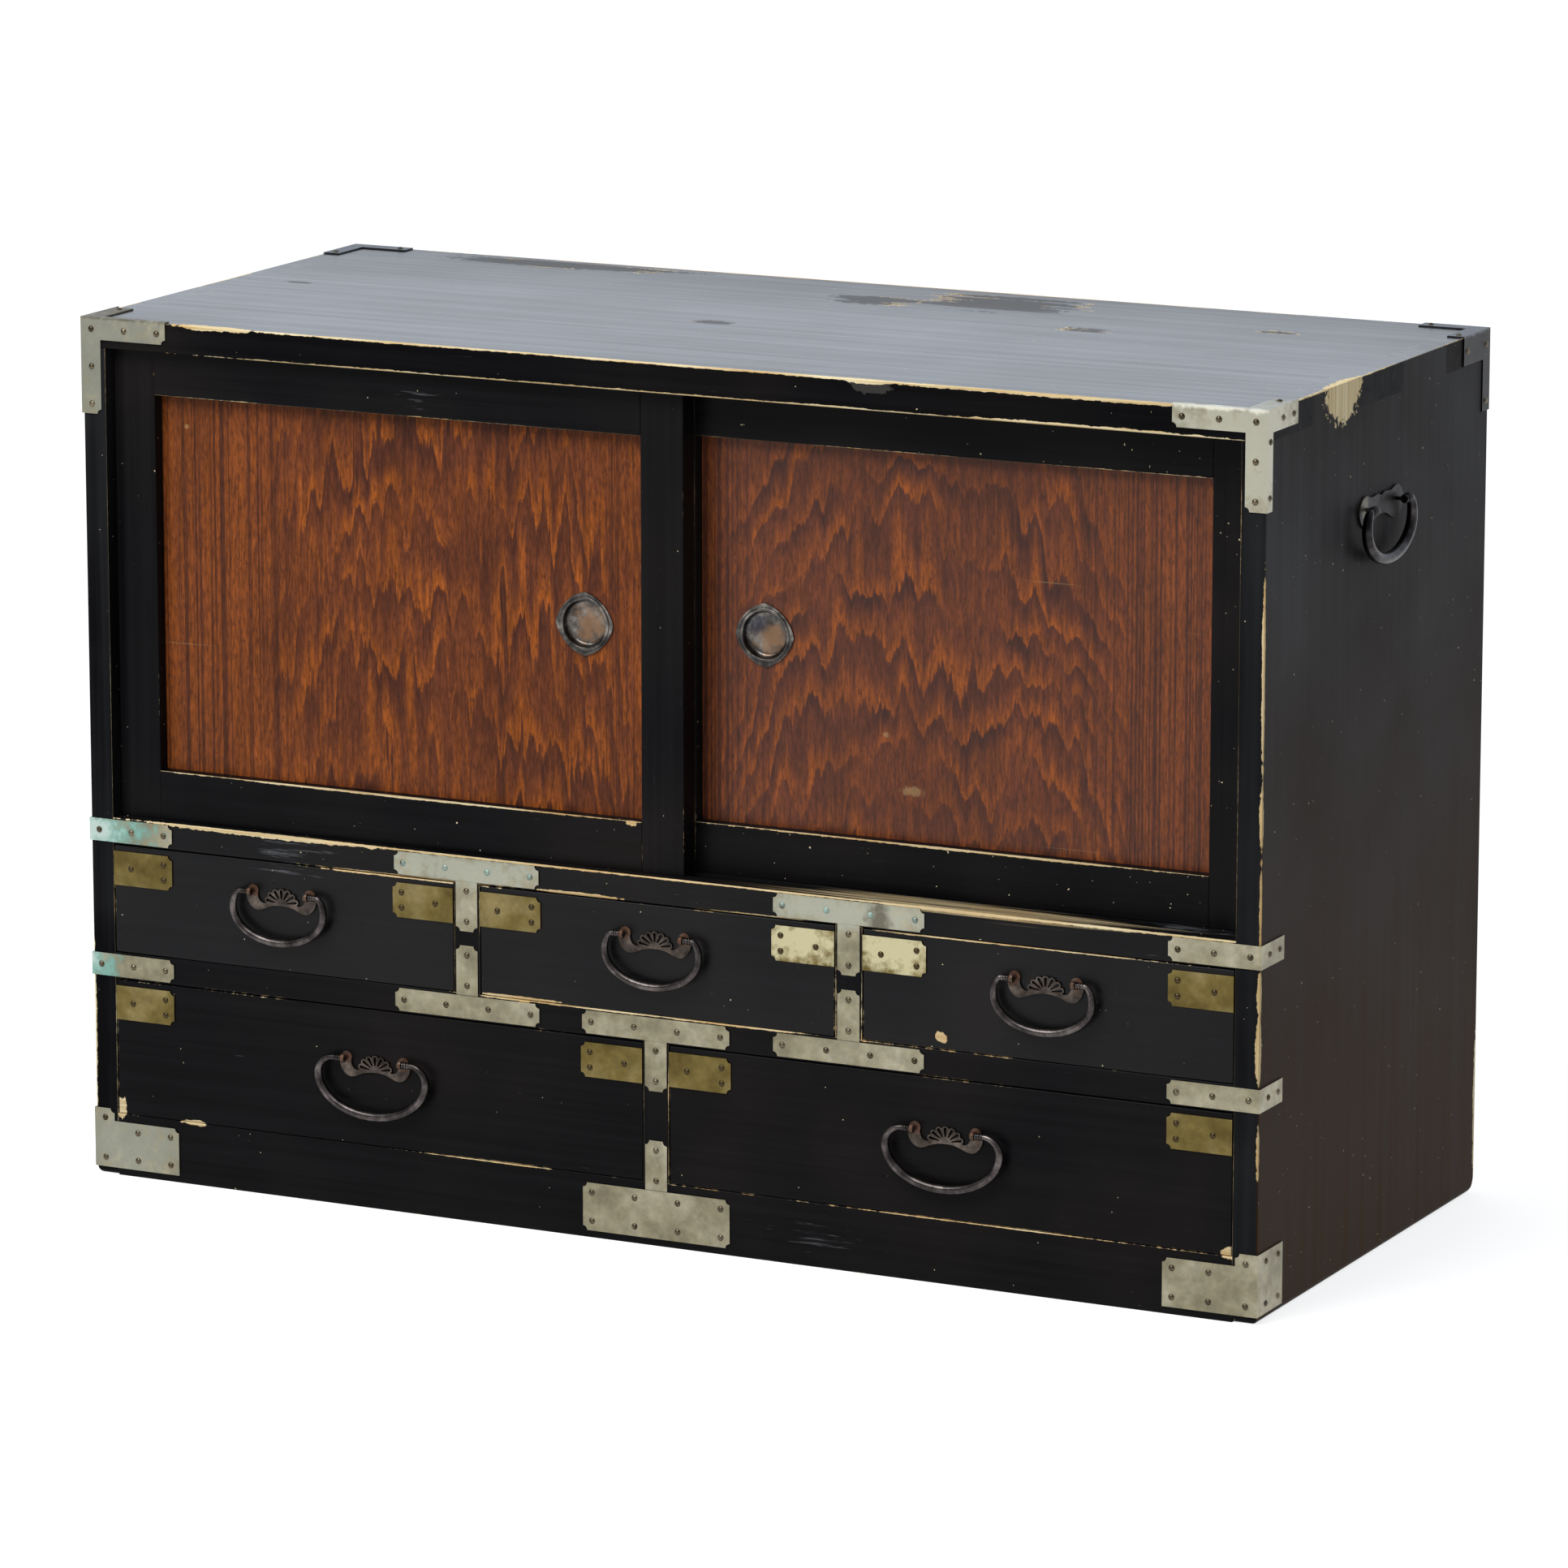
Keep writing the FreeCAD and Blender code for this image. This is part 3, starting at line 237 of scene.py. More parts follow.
# Top board: one wide softwood board, finger-jointed to the sides, lacquered and waxed.
# Its film has peeled near the back, and is knocked off at one place in front.
TOP_LOWER_EDGE = 603
SIDE_IOR = 1.1
SIDE_GLOSS = (0.38, 0.52)
lacquer_top = black_lacquer("waxed_black_lacquer", (420, 9, 9), SIDE_IOR, SIDE_GLOSS, chips=(
    ((100, FRONT_MM, TOP_EDGE), (450, 1.5, 1.3)), ((-350, FRONT_MM, TOP_EDGE), (34, 5, 2.4)),
    ((300, FRONT_MM, TOP_EDGE), (150, 2.6, 1.8)), ((164, FRONT_MM, TOP_EDGE), (22, 3, 2.4)),
    ((60, FRONT_MM, TOP_LOWER_EDGE), (430, 1.1, 1.1)), ((310, FRONT_MM, TOP_LOWER_EDGE), (110, 2, 1.8)),
    ((RIGHT_MM, -60, TOP_EDGE), (5, 27, 25)), ((RIGHT_MM, -90, TOP_EDGE), (1.2, 110, 0.8)),
    ((-RIGHT_MM, 0, TOP_EDGE), (1.2, 170, 0.8)), ((0, 201, TOP_EDGE), (300, 1.6, 1.2))),
    scuff_and_sheen_places=(((-395, -120, TOP_EDGE), (40, 30, 4)), ((20, -60, TOP_EDGE), (25, 14, 4)),
             ((190, 10, TOP_EDGE), (45, 20, 4))),
    peeled=(((100, 150, TOP_EDGE), (52, 36, 6)), ((12, 128, TOP_EDGE), (34, 22, 6)),
            ((-270, 180, TOP_EDGE), (90, 18, 6)), ((-45, -15, TOP_EDGE), (14, 9, 6)),
            ((164, FRONT_MM, TOP_EDGE), (14, 3, 11)), ((205, 70, TOP_EDGE), (26, 8, 5)),
            ((-400, 20, TOP_EDGE), (16, 6, 5)), ((330, 120, TOP_EDGE), (18, 6, 5))))
wear(lacquer_top, 0.35, "top_board")
nodes["top_board"]["low"] = [-RIGHT_MM * MM, FRONT_MM * MM, 0]

# Sides: one wide softwood board each, standing on the floor with its grain upright.
# Light and dry air have turned their lower halves brown, in upright streaks, and the painted grey sheen along
# the streaks grows toward the top.
BROWN_BELOW = 40
BLACK_ABOVE = 520
lacquer_side = black_lacquer("faded_black_lacquer", (11, 11, 520), SIDE_IOR, SIDE_GLOSS, chips=(
    ((RIGHT_MM, FRONT_MM, 440), (1.5, 1.5, 80)), ((RIGHT_MM, FRONT_MM, 345), (2.2, 2.2, 30)),
    ((RIGHT_MM, FRONT_MM, 290), (1.4, 1.4, 40)), ((RIGHT_MM, FRONT_MM, 228), (2, 2, 14)),
    ((RIGHT_MM, FRONT_MM, 192), (2.5, 2.5, 20)), ((RIGHT_MM, FRONT_MM, 118), (2, 2, 22)),
    ((RIGHT_MM, -60, TOP_EDGE), (5, 27, 25)),
    ((RIGHT_MM, -90, TOP_EDGE), (1.2, 110, 0.8)), ((-RIGHT_MM, FRONT_MM, 110), (1.6, 1.6, 60)),
    ((RIGHT_MM, 201, 60), (3, 3, 50))),
    fade=(BROWN_BELOW, BLACK_ABOVE))
wear(lacquer_side, 0.16, "left_side_board", "right_side_board")

# Rails: the sill that the doors run on, the rail between the drawer rows and the base rail.
# Hands and doors have rubbed the sill's upper edge to bare wood, and its empty track on the right, and a grey
# patch at that track's right end is a painted reflection.
SILL_TOP = 264
SILL_MIDDLE = 254
BASE_RAIL_TOP = 46
LEFT_DOOR_MM = -181.6
RIGHT_DOOR_MM = -162.6
FRONT_IOR = 1.15
SILL_IOR = 1.22
FRONT_GLOSS = (0.3, 0.44)
lacquer_sill = black_lacquer("rubbed_black_lacquer", (320, 2.4, 2.4), SILL_IOR, FRONT_GLOSS, chips=(
    ((0, FRONT_MM, SILL_TOP), (480, 1.3, 1.1)), ((-310, FRONT_MM, SILL_TOP), (110, 2.6, 2.4)),
    ((290, FRONT_MM, SILL_TOP), (180, 2.2, 1.4)), ((-190, FRONT_MM, 245), (80, 1.6, 0.9)),
    ((-60, FRONT_MM, 246), (32, 2, 1.2)), ((70, FRONT_MM, 245), (40, 2, 1))),
    rubbed=(((230, -180, SILL_TOP - 3), (260, 22, 9)),),
    # The grey spot at the right end of the track is a painted reflection, drawn as a dense scuff.
    scuff_and_sheen_places=(((-300, FRONT_MM, SILL_MIDDLE), (60, 6, 14)), ((400, -170, SILL_TOP), (60, 30, 9))))
wear(lacquer_sill, 0.3, "door_sill")
lacquer_along = black_lacquer("black_lacquer_along", (320, 5, 5), FRONT_IOR, FRONT_GLOSS, chips=(
    ((-60, FRONT_MM, 165.5), (90, 1.4, 0.9)), ((-104, FRONT_MM, 166), (5, 3, 4)),
    ((60, FRONT_MM, 165.5), (60, 1.4, 1)), ((-434, FRONT_MM, 50), (5, 4, 9)),
    ((435, FRONT_MM, 48), (7, 4, 5)), ((-215, LEFT_DOOR_MM, 299.3), (200, 1.2, 1)),
    ((-24, LEFT_DOOR_MM, 299), (6, 2, 4)), ((215, RIGHT_DOOR_MM, 299.3), (200, 1.4, 1.2)),
    ((-372, FRONT_MM, BASE_RAIL_TOP), (9, 3, 2)), ((250, FRONT_MM, BASE_RAIL_TOP), (130, 0.7, 0.7)),
    ((-140, FRONT_MM, BASE_RAIL_TOP), (60, 0.7, 0.7))),
    scuff_and_sheen_places=(((-190, LEFT_DOOR_MM, 584), (26, 8, 12)), ((120, FRONT_MM, 20), (60, 6, 16))))
lacquer_upright = black_lacquer("black_lacquer_upright", (5, 5, 320), FRONT_IOR, FRONT_GLOSS)
wear(lacquer_along, 0.4, "middle_rail", "base_rail")
wear(lacquer_upright, 0.4, "upper_divider_left", "upper_divider_right", "lower_divider")

# Boards that are never seen when the chest stands closed: plain softwood, planed and left bare.
# They are the back, which is glued up from four planks, the bottom, the rear foot rail, and the floors
# behind the sill and the middle rail.
SOFTWOOD_PALE = "#B08A59"
SOFTWOOD_LINE = "#87623A"
SOFTWOOD_DARK = "#5E442B"
YEAR_LINES = 26


def planed_softwood(name, long_mm, wide_mm, plank_mm=None):
    """Bare conifer wood: warm tan with narrow darker year lines, dull, a little dirty with age. The grain
    runs along the chest, and from front to back in the boards that stand that way. A panel that is glued up
    from planks shows their joints as thin dark lines, with a tone and a grain of its own for each."""
    material, tree, shader = new_material(name)
    where = add(tree, "TexCoord").outputs
    place = where["Object"]
    if plank_mm:
        height = add(tree, "SeparateXYZ", {0: place}).outputs["Z"]
        count = add(tree, "Math", {0: height, 1: 1 / (plank_mm * MM)}, operation="MULTIPLY")
        plank = add(tree, "Math", {0: count}, operation="FLOOR")
        plank = add(tree, "TexWhiteNoise", {"W": plank}, noise_dimensions="1D").outputs
        place = add(tree, "VectorMath", {0: place, 1: plank["Color"]}, operation="ADD")
    facing = add(tree, "SeparateXYZ", {0: where["Normal"]}).outputs["X"]
    sideways = add(tree, "Math", {0: facing}, operation="ABSOLUTE")
    sideways = add(tree, "Math", {0: sideways, 1: 0.5}, operation="GREATER_THAN")
    marks = {}
    for mark, share, detail in (("rings", 1, 2), ("fibres", 0.03, 2)):
        along, across = per_mm(long_mm * share, wide_mm * share)
        change = (across - along, along - across, 0)
        turned = add(tree, "VectorMath", {0: sideways, 1: change}, operation="MULTIPLY")
        scale = add(tree, "VectorMath", {0: turned, 1: (along, across, across)}, operation="ADD")
        cells = add(tree, "VectorMath", {0: place, 1: scale}, operation="MULTIPLY")
        marks[mark] = add(tree, "TexNoise", {"Vector": cells, "Scale": 1, "Detail": detail})
    cells = add(tree, "VectorMath", {0: where["Object"], 1: per_mm(160, 160, 160)}, operation="MULTIPLY")
    marks["dirt"] = add(tree, "TexNoise", {"Vector": cells, "Scale": 1, "Detail": 5})
    lines = add(tree, "Math", {0: marks["rings"], 1: YEAR_LINES}, operation="MULTIPLY")
    saw = add(tree, "Math", {0: lines}, operation="FRACT")
    wood = add(tree, "ValToRGB", {0: saw}, ramp=[
        (0.2, SOFTWOOD_PALE), (0.85, SOFTWOOD_LINE), (1, SOFTWOOD_PALE)])
    soiled = add(tree, "MapRange", {0: marks["dirt"], 1: 0.4, 2: 0.75, 3: 0.1, 4: 0.65})
    streaked = add(tree, "Math", {0: soiled, 1: marks["fibres"]}, operation="MULTIPLY")
    if plank_mm:
        toned = add(tree, "MapRange", {0: plank["Value"], 1: 0, 2: 1, 3: 0.82, 4: 1.08})
        wood = add(tree, "Mix", {0: 1, 6: wood, 7: toned}, data_type="RGBA", blend_type="MULTIPLY")
        off = add(tree, "Math", {0: count, 1: 0.5}, operation="PINGPONG")
        joint = add(tree, "MapRange", {0: off, 1: 0.5 / plank_mm, 2: 1.2 / plank_mm, 3: 0.9, 4: 0})
        streaked = add(tree, "Math", {0: streaked, 1: joint}, operation="MAXIMUM")
    colour = add(tree, "Mix", {0: streaked, 6: wood, 7: linear(SOFTWOOD_DARK)}, data_type="RGBA")
    rough = add(tree, "MapRange", {0: marks["dirt"], 1: 0.3, 2: 0.7, 3: 0.62, 4: 0.8})
    finish(tree, shader, colour, rough, marks["fibres"], depth_mm=0.1, strength=0.25)
    return material


GRAIN_LONG = 1500
GRAIN_WIDE = 90
BACK_PLANK = 151
softwood = planed_softwood("planed_softwood", GRAIN_LONG, GRAIN_WIDE)
coat(softwood, "bottom_board", "rear_base_rail", "cabinet_floor", "drawer_shelf")
coat(planed_softwood("glued_up_softwood", GRAIN_LONG, GRAIN_WIDE, BACK_PLANK), "back_board")

# Sliding doors: tenoned frames, lacquered like the carcass, that run in tracks cut in the sill and the top.
# Each holds a thin panel of flat-sawn wood in its grooves, stained red-brown under a clear lacquer.
PANEL_LINE = "#3C2018"
PANEL_DARK = "#452419"
PANEL_BROWN = "#69371E"
PANEL_ORANGE = "#97501C"
for door in ("left_door", "right_door"):
    wear(lacquer_upright, 0.25, door + "_left_stile", door + "_right_stile")
    wear(lacquer_along, 0.3, door + "_top_rail", door + "_bottom_rail")


def flat_sawn_panel(name, heart, half_width, ring_mm, tongue_mm, jag_mm, shift, tone, ior, dents):
    """Flat-sawn board with flame grain: rows of tongues up the heart, each dark under its tip and orange at
    its foot, and straight dark year lines toward the edges. Fibres and open pores run all along it, and are
    drawn two or three times as wide as real ones, to show."""
    material, tree, shader = new_material(name)
    place = add(tree, "TexCoord").outputs["Object"]
    x, y, z = add(tree, "SeparateXYZ", {0: place}).outputs
    off = add(tree, "Math", {0: x, 1: heart * MM}, operation="SUBTRACT")
    away = add(tree, "Math", {0: off}, operation="ABSOLUTE")
    wide = add(tree, "Math", {0: away, 1: 1 / (half_width * MM)}, operation="MULTIPLY")
    arch = add(tree, "Math", {0: wide, 1: 4}, operation="POWER")
    moved = add(tree, "VectorMath", {0: place, 1: (shift, shift, shift)}, operation="ADD")
    marks = {}
    for mark, sizes, detail, roughness in (
            ("sway", (100, 100, 150), 2, 0.5),
            ("jags", (5, 5, 110), 2, 0.6),
            ("fibres", (2, 2, 90), 3, 0.6),
            ("hairs", (1.6, 1.6, 9), 2, 0.6),
            ("lines", (2.6, 2.6, 1200), 2, 0.6),
            ("pores", (1.8, 1.8, 5), 2, 0.5),
            ("blotches", (40, 40, 110), 3, 0.5),
            ("clearness", (50, 50, 60), 2, 0.5),
            ("scratches", (150, 150, 1.6), 1, 0.5)):
        cells = add(tree, "VectorMath", {0: moved, 1: per_mm(*sizes)}, operation="MULTIPLY")
        marks[mark] = add(tree, "TexNoise", {
            "Vector": cells, "Scale": 1, "Detail": detail, "Roughness": roughness})
    tongue = per_mm(tongue_mm, tongue_mm, tongue_mm * 8)
    cells = add(tree, "VectorMath", {0: moved, 1: tongue}, operation="MULTIPLY")
    marks["tongues"] = add(tree, "TexVoronoi", {"Vector": cells, "Scale": 1})
    field = add(tree, "Math", {0: z, 1: 1 / (ring_mm * MM)}, operation="MULTIPLY")
    for mark, moved_mm in (
            ("tongues", jag_mm), ("jags", jag_mm * 0.6), ("fibres", jag_mm * 0.3), ("sway", 150)):
        field = add(tree, "Math", {0: marks[mark], 1: moved_mm / ring_mm, 2: field}, operation="MULTIPLY_ADD")
    field = add(tree, "Math", {0: arch, 1: 5, 2: field}, operation="MULTIPLY_ADD")
    ring = add(tree, "Math", {0: field}, operation="FRACT")
    border = add(tree, "MapRange", {0: ring, 1: 0.9, 2: 1, 3: 0, 4: 0.4})
    soft = add(tree, "Math", {0: ring, 1: border}, operation="SUBTRACT")
    year = add(tree, "Math", {0: field}, operation="FLOOR")
    year = add(tree, "TexWhiteNoise", {"W": year}, noise_dimensions="1D")
    clear = add(tree, "MapRange", {0: marks["clearness"], 1: 0.38, 2: 0.6, 3: 0.12, 4: 1})
    for fading in (add(tree, "MapRange", {0: year, 1: 0, 2: 1, 3: 0.4, 4: 1}),
                   add(tree, "MapRange", {0: wide, 1: 0.65, 2: 1, 3: 1, 4: 0.15})):
        clear = add(tree, "Math", {0: clear, 1: fading}, operation="MULTIPLY")
    plain = add(tree, "MapRange", {0: wide, 1: 0.5, 2: 1, 3: 0.45, 4: 0.36})
    mingled = add(tree, "Mix", {0: clear, 2: plain, 3: soft})
    mingled = add(tree, "Math", {0: mingled, 1: 0.6}, operation="MULTIPLY")
    for mark, share in (("fibres", 0.3), ("jags", 0.2)):
        mingled = add(tree, "Math", {0: marks[mark], 1: share, 2: mingled}, operation="MULTIPLY_ADD")
    wood = add(tree, "ValToRGB", {0: mingled}, ramp=[
        (0.36, PANEL_ORANGE), (0.54, PANEL_BROWN), (0.74, PANEL_DARK)])
    ruled = add(tree, "MapRange", {0: wide, 1: 0.55, 2: 0.95, 3: 0.15, 4: 0.75})
    lined = add(tree, "MapRange", {0: marks["lines"], 1: 0.47, 2: 0.58})
    lined = add(tree, "Math", {0: lined, 1: ruled}, operation="MULTIPLY")
    wood = add(tree, "Mix", {0: lined, 6: wood, 7: linear(PANEL_LINE)}, data_type="RGBA")
    for mark, least, most in (("fibres", 0.72, 1.26), ("hairs", 0.62, 1.36), ("blotches", 0.84, 1.14)):
        shade = add(tree, "MapRange", {0: marks[mark], 1: 0.3, 2: 0.7, 3: least, 4: most})
        wood = add(tree, "Mix", {0: 1, 6: wood, 7: shade}, data_type="RGBA", blend_type="MULTIPLY")
    pored = add(tree, "MapRange", {0: marks["pores"], 1: 0.54, 2: 0.74, 3: 0, 4: 0.7})
    grain = add(tree, "Mix", {0: pored, 6: wood, 7: linear(PANEL_DARK)}, data_type="RGBA")
    stained = add(tree, "Mix", {0: 1, 6: grain, 7: linear(tone)}, data_type="RGBA", blend_type="MULTIPLY")
    nicked = add(tree, "MapRange", {0: marks["scratches"], 1: 0.78, 2: 0.84, 3: 0, 4: 0.25})
    dented = add(tree, "Math", {0: marks["hairs"], 1: 1.6, 2: nearness(tree, place, dents)},
                 operation="MULTIPLY_ADD")
    dented = add(tree, "MapRange", {0: dented, 1: 1.8, 2: 1.5, 3: 0, 4: 0.28})
    nicked = add(tree, "Math", {0: nicked, 1: dented}, operation="MAXIMUM")
    colour = add(tree, "Mix", {0: nicked, 6: stained, 7: linear(WORN_WOOD_TAN)}, data_type="RGBA")
    rough = add(tree, "MapRange", {0: marks["fibres"], 1: 0.3, 2: 0.7, 3: 0.34, 4: 0.5})
    finish(tree, shader, colour, rough, marks["fibres"], depth_mm=0.08, strength=0.22)
    shader.inputs["IOR"].default_value = ior
    return material


LEFT_DENTS = (((-383, -172, 548), (2, 4, 2)),)
RIGHT_DENTS = (((157, -152, 372), (2.4, 4, 2.4)), ((178, -152, 334), (9, 4, 4)))
coat(flat_sawn_panel(
    "left_flame_grain", heart=-175, half_width=160, ring_mm=68, tongue_mm=13, jag_mm=100,
    shift=0.0, tone="#FFFFFF", ior=1.22, dents=LEFT_DENTS), "left_door_panel")
coat(flat_sawn_panel(
    "right_flame_grain", heart=185, half_width=165, ring_mm=36, tongue_mm=15, jag_mm=40,
    shift=0.4, tone="#EEECFA", ior=1.34, dents=RIGHT_DENTS), "right_door_panel")

# Finger pulls: cups pressed from copper sheet, let into the panels, with a rolled rim and a lobed flange.
# Handling keeps the rims bright, and the cups are dark with a brown patina, and a dark blue-grey reflection
# is painted in the right cup.
NOOK_DIRT_AND_SHADE = "#15120F"
NOOK_MM = 2.2


def aged_metal(name, deep, mid, bright, rough, cell_mm, patches=(), heads=None):
    """Old metal sheet: clouds of tarnish between a deep and a bright tone, fine pitting, and darkening in the
    nooks that is partly dirt and partly painted shade. A patch is a place with a tone of its own, as metal or
    as a dull crust, and some patches are painted highlights and reflections; heads are dark nail heads. The
    pits are drawn some three times as wide as real ones, to show."""
    material, tree, shader = new_material(name)
    place = add(tree, "TexCoord").outputs["Object"]
    marks = {}
    for mark, sizes, detail in (
            ("clouds", cell_mm, 4), ("pits", (0.9, 0.9, 0.9), 2), ("crumbs", (7, 7, 7), 4)):
        cells = add(tree, "VectorMath", {0: place, 1: per_mm(*sizes)}, operation="MULTIPLY")
        marks[mark] = add(tree, "TexNoise", {"Vector": cells, "Scale": 1, "Detail": detail, "Roughness": 0.6})
    colour = add(tree, "ValToRGB", {0: marks["clouds"]}, ramp=[(0.34, deep), (0.5, mid), (0.66, bright)])
    smudge = add(tree, "MapRange", {0: marks["crumbs"], 1: 0.3, 2: 0.7, 3: 0.8, 4: 1.14})
    colour = add(tree, "Mix", {0: 1, 6: colour, 7: smudge}, data_type="RGBA", blend_type="MULTIPLY")
    roughness = add(tree, "MapRange", {0: marks["pits"], 1: 0.3, 2: 0.7, 3: rough - 0.07, 4: rough + 0.09})
    metal = 1
    for tint, most, crusty, spots in patches:
        torn = add(tree, "Math", {0: marks["crumbs"], 1: 2.4, 2: nearness(tree, place, spots)},
                   operation="MULTIPLY_ADD")
        patch = add(tree, "MapRange", {0: torn, 1: 2.4, 2: 1.7, 3: 0, 4: most})
        colour = add(tree, "Mix", {0: patch, 6: colour, 7: linear(tint)}, data_type="RGBA")
        crust = add(tree, "Math", {0: patch, 1: crusty}, operation="MULTIPLY")
        roughness = add(tree, "Mix", {0: crust, 2: roughness, 3: 0.85})
        metal = add(tree, "Math", {0: metal, 1: crust}, operation="SUBTRACT", use_clamp=True)
    if heads:
        face_mm, head_tone = heads
        depth = add(tree, "SeparateXYZ", {0: place}).outputs["Y"]
        proud = add(tree, "Math", {0: depth, 1: face_mm * MM}, operation="LESS_THAN")
        colour = add(tree, "Mix", {0: proud, 6: colour, 7: linear(head_tone)}, data_type="RGBA")
    # Ambient occlusion darkens the nooks: partly dirt, partly painted shade.
    nook = add(tree, "AmbientOcclusion", {"Distance": NOOK_MM * MM}, samples=8).outputs["AO"]
    dirt = add(tree, "MapRange", {0: nook, 1: 0.45, 2: 0.9, 3: 0.9, 4: 0})
    colour = add(tree, "Mix", {0: dirt, 6: colour, 7: linear(NOOK_DIRT_AND_SHADE)}, data_type="RGBA")
    finish(tree, shader, colour, roughness, marks["pits"], depth_mm=0.05, strength=0.15)
    if patches:
        tree.links.new(metal.outputs[0], shader.inputs["Metallic"])
    else:
        shader.inputs["Metallic"].default_value = metal
    return material


PULL_FLOORS = [((-63, -168, 432), (13, 3, 13)), ((68, -149, 430), (13, 3, 11))]
# A dark blue-grey reflection painted in the upper left of the right cup.
PULL_PAINTED_REFLECTION = [((57, -149, 440), (8, 3, 8))]
coat(aged_metal("patinated_copper", "#343231", "#54514E", "#868079", 0.3, (12, 12, 12), patches=(
    ("#8A6A4E", 0.7, 0.1, PULL_FLOORS), ("#2C2F3C", 0.8, 0, PULL_PAINTED_REFLECTION))),
    "left_door_finger_pull", "right_door_finger_pull")

# Drawers: lacquered fronts lapped over plain softwood boxes that slide on the boards below them.
# Each front has two brass corner plates and a swinging iron handle.
DRAWERS = ("small_left", "small_middle", "small_right", "large_left", "large_right")
POLISHED_IOR = 1.25
lacquer_small = black_lacquer("polished_black_lacquer", (320, 5, 5), POLISHED_IOR, FRONT_GLOSS, chips=(
    ((219, FRONT_MM, 174.5), (5, 3, 4.4)), ((-190, FRONT_MM, 244), (70, 1.6, 0.8)),
    ((280, FRONT_MM, 244.4), (130, 1.6, 0.8)), ((-100, FRONT_MM, 167), (30, 1.6, 1))),
    scuff_and_sheen_places=(((-297, FRONT_MM, 240), (35, 6, 9)),))
for drawer in DRAWERS:
    wear(lacquer_small if drawer.startswith("small") else lacquer_along, 0.35, drawer + "_drawer_front")
    coat(softwood, drawer + "_drawer_box")

# Drawer corner plates: brass sheet with nipped corners, held by three dome-headed nails that have gone dark.
# Hands have polished the two plates beside the right divider.
NAIL_FACE_MM = FRONT_MM - 1.06
POLISHED_PLACES = [((x, FRONT_MM, 232), (38, 6, 18)) for x in (113, 186)]
coat(aged_metal("tarnished_brass", "#5C4F2B", "#6F6138", "#857750", 0.36, (34, 34, 34), patches=(
    ("#C9C29C", 0.85, 0, POLISHED_PLACES),), heads=(NAIL_FACE_MM, "#4A402C")),
    *[drawer + "_corner_plates" for drawer in DRAWERS])

# Carcass fittings: nickel-silver sheet bent over the corners, rail ends and divider joints, and nailed.
# It is dull and warm with age, and paler on top. Damp has turned the straps at the left end green.
PLATE_TOP = 625.4
DIVIDERS = (-149, 149)
VERDIGRIS = [((-450, FRONT_MM, SILL_MIDDLE), (44, 12, 16)), ((-458, FRONT_MM, 156), (24, 14, 14)),
             ((-456, -160, SILL_MIDDLE), (6, 40, 14))]
VERDIGRIS_CRUST = [((-462, FRONT_MM, SILL_MIDDLE), (30, 12, 12)), ((-462, FRONT_MM, 158), (12, 14, 9))]
PALE_TOP = [((440, FRONT_MM, 600), (60, 60, 60))]
GREY_LEFT = [((-430, FRONT_MM, 24), (60, 10, 26)), ((-440, FRONT_MM, 600), (60, 10, 60))]
PALE_TEES = [((x, FRONT_MM, SILL_MIDDLE), (80, 6, 12)) for x in DIVIDERS]
# A painted highlight along the fold of the right top corner plate.
PAINTED_FOLD_HIGHLIGHT = [((420, FRONT_MM - 1, TOP_EDGE + 1), (50, 5, 2.6))]
SMOKED = [((172, FRONT_MM, 250), (9, 4, 14)), ((-430, -150, PLATE_TOP), (60, 90, 2.2))]
coat(aged_metal("tarnished_nickel_silver", "#7A7460", "#8F8972", "#A39D88", 0.34, (40, 40, 40), patches=(
    ("#B7B5A4", 0.8, 0, PALE_TOP), ("#8E9186", 0.7, 0, GREY_LEFT), ("#ABAD9E", 0.75, 0.1, PALE_TEES),
    ("#E6E4D4", 0.9, 0, PAINTED_FOLD_HIGHLIGHT), ("#4E4433", 0.7, 0.4, SMOKED),
    ("#86BDB1", 0.85, 0.9, VERDIGRIS), ("#D3E2DB", 0.75, 0.9, VERDIGRIS_CRUST))),
    "front_top_corner_plates", "base_corner_plates", "end_straps", "divider_straps")
PALE_NAILS = [((x, FRONT_MM, SILL_MIDDLE), (70, 6, 9)) for x in DIVIDERS]
coat(aged_metal("dark_nail_heads", "#453D30", "#5C5343", "#7B7260", 0.34, (9, 9, 9), patches=(
    ("#A9C4BB", 0.8, 0.6, PALE_NAILS),)), "carcass_nails")
REAR_TOPS = [((side * 430, 180, PLATE_TOP), (60, 60, 2.4)) for side in (-1, 1)]
coat(aged_metal("blackened_iron", "#161516", "#1E1D1E", "#2B2A2B", 0.4, (20, 20, 20), patches=(
    ("#62666C", 0.85, 0, REAR_TOPS),)), "rear_top_corner_plates")

# Handles: forged iron bails that hang from eye posts, over plates cut from iron sheet and pierced like a fan.
# The plates have a brown skin with fresh rust at the posts, and the bails are rubbed smooth by hands.
POSTS = [((x + side * 23, FRONT_MM - 3, z), (5, 9, 5)) for side in (-1, 1) for x, z in (
    (-297.7, 223), (0, 223), (297.7, 223), (-223.1, 109.4), (223.1, 109.4))]
coat(aged_metal("rusty_sheet_iron", "#352F2B", "#4E4640", "#6B6059", 0.44, (9, 9, 9), patches=(
    ("#6F452A", 0.6, 0.7, POSTS),)), *[drawer + "_handle_plate" for drawer in DRAWERS])
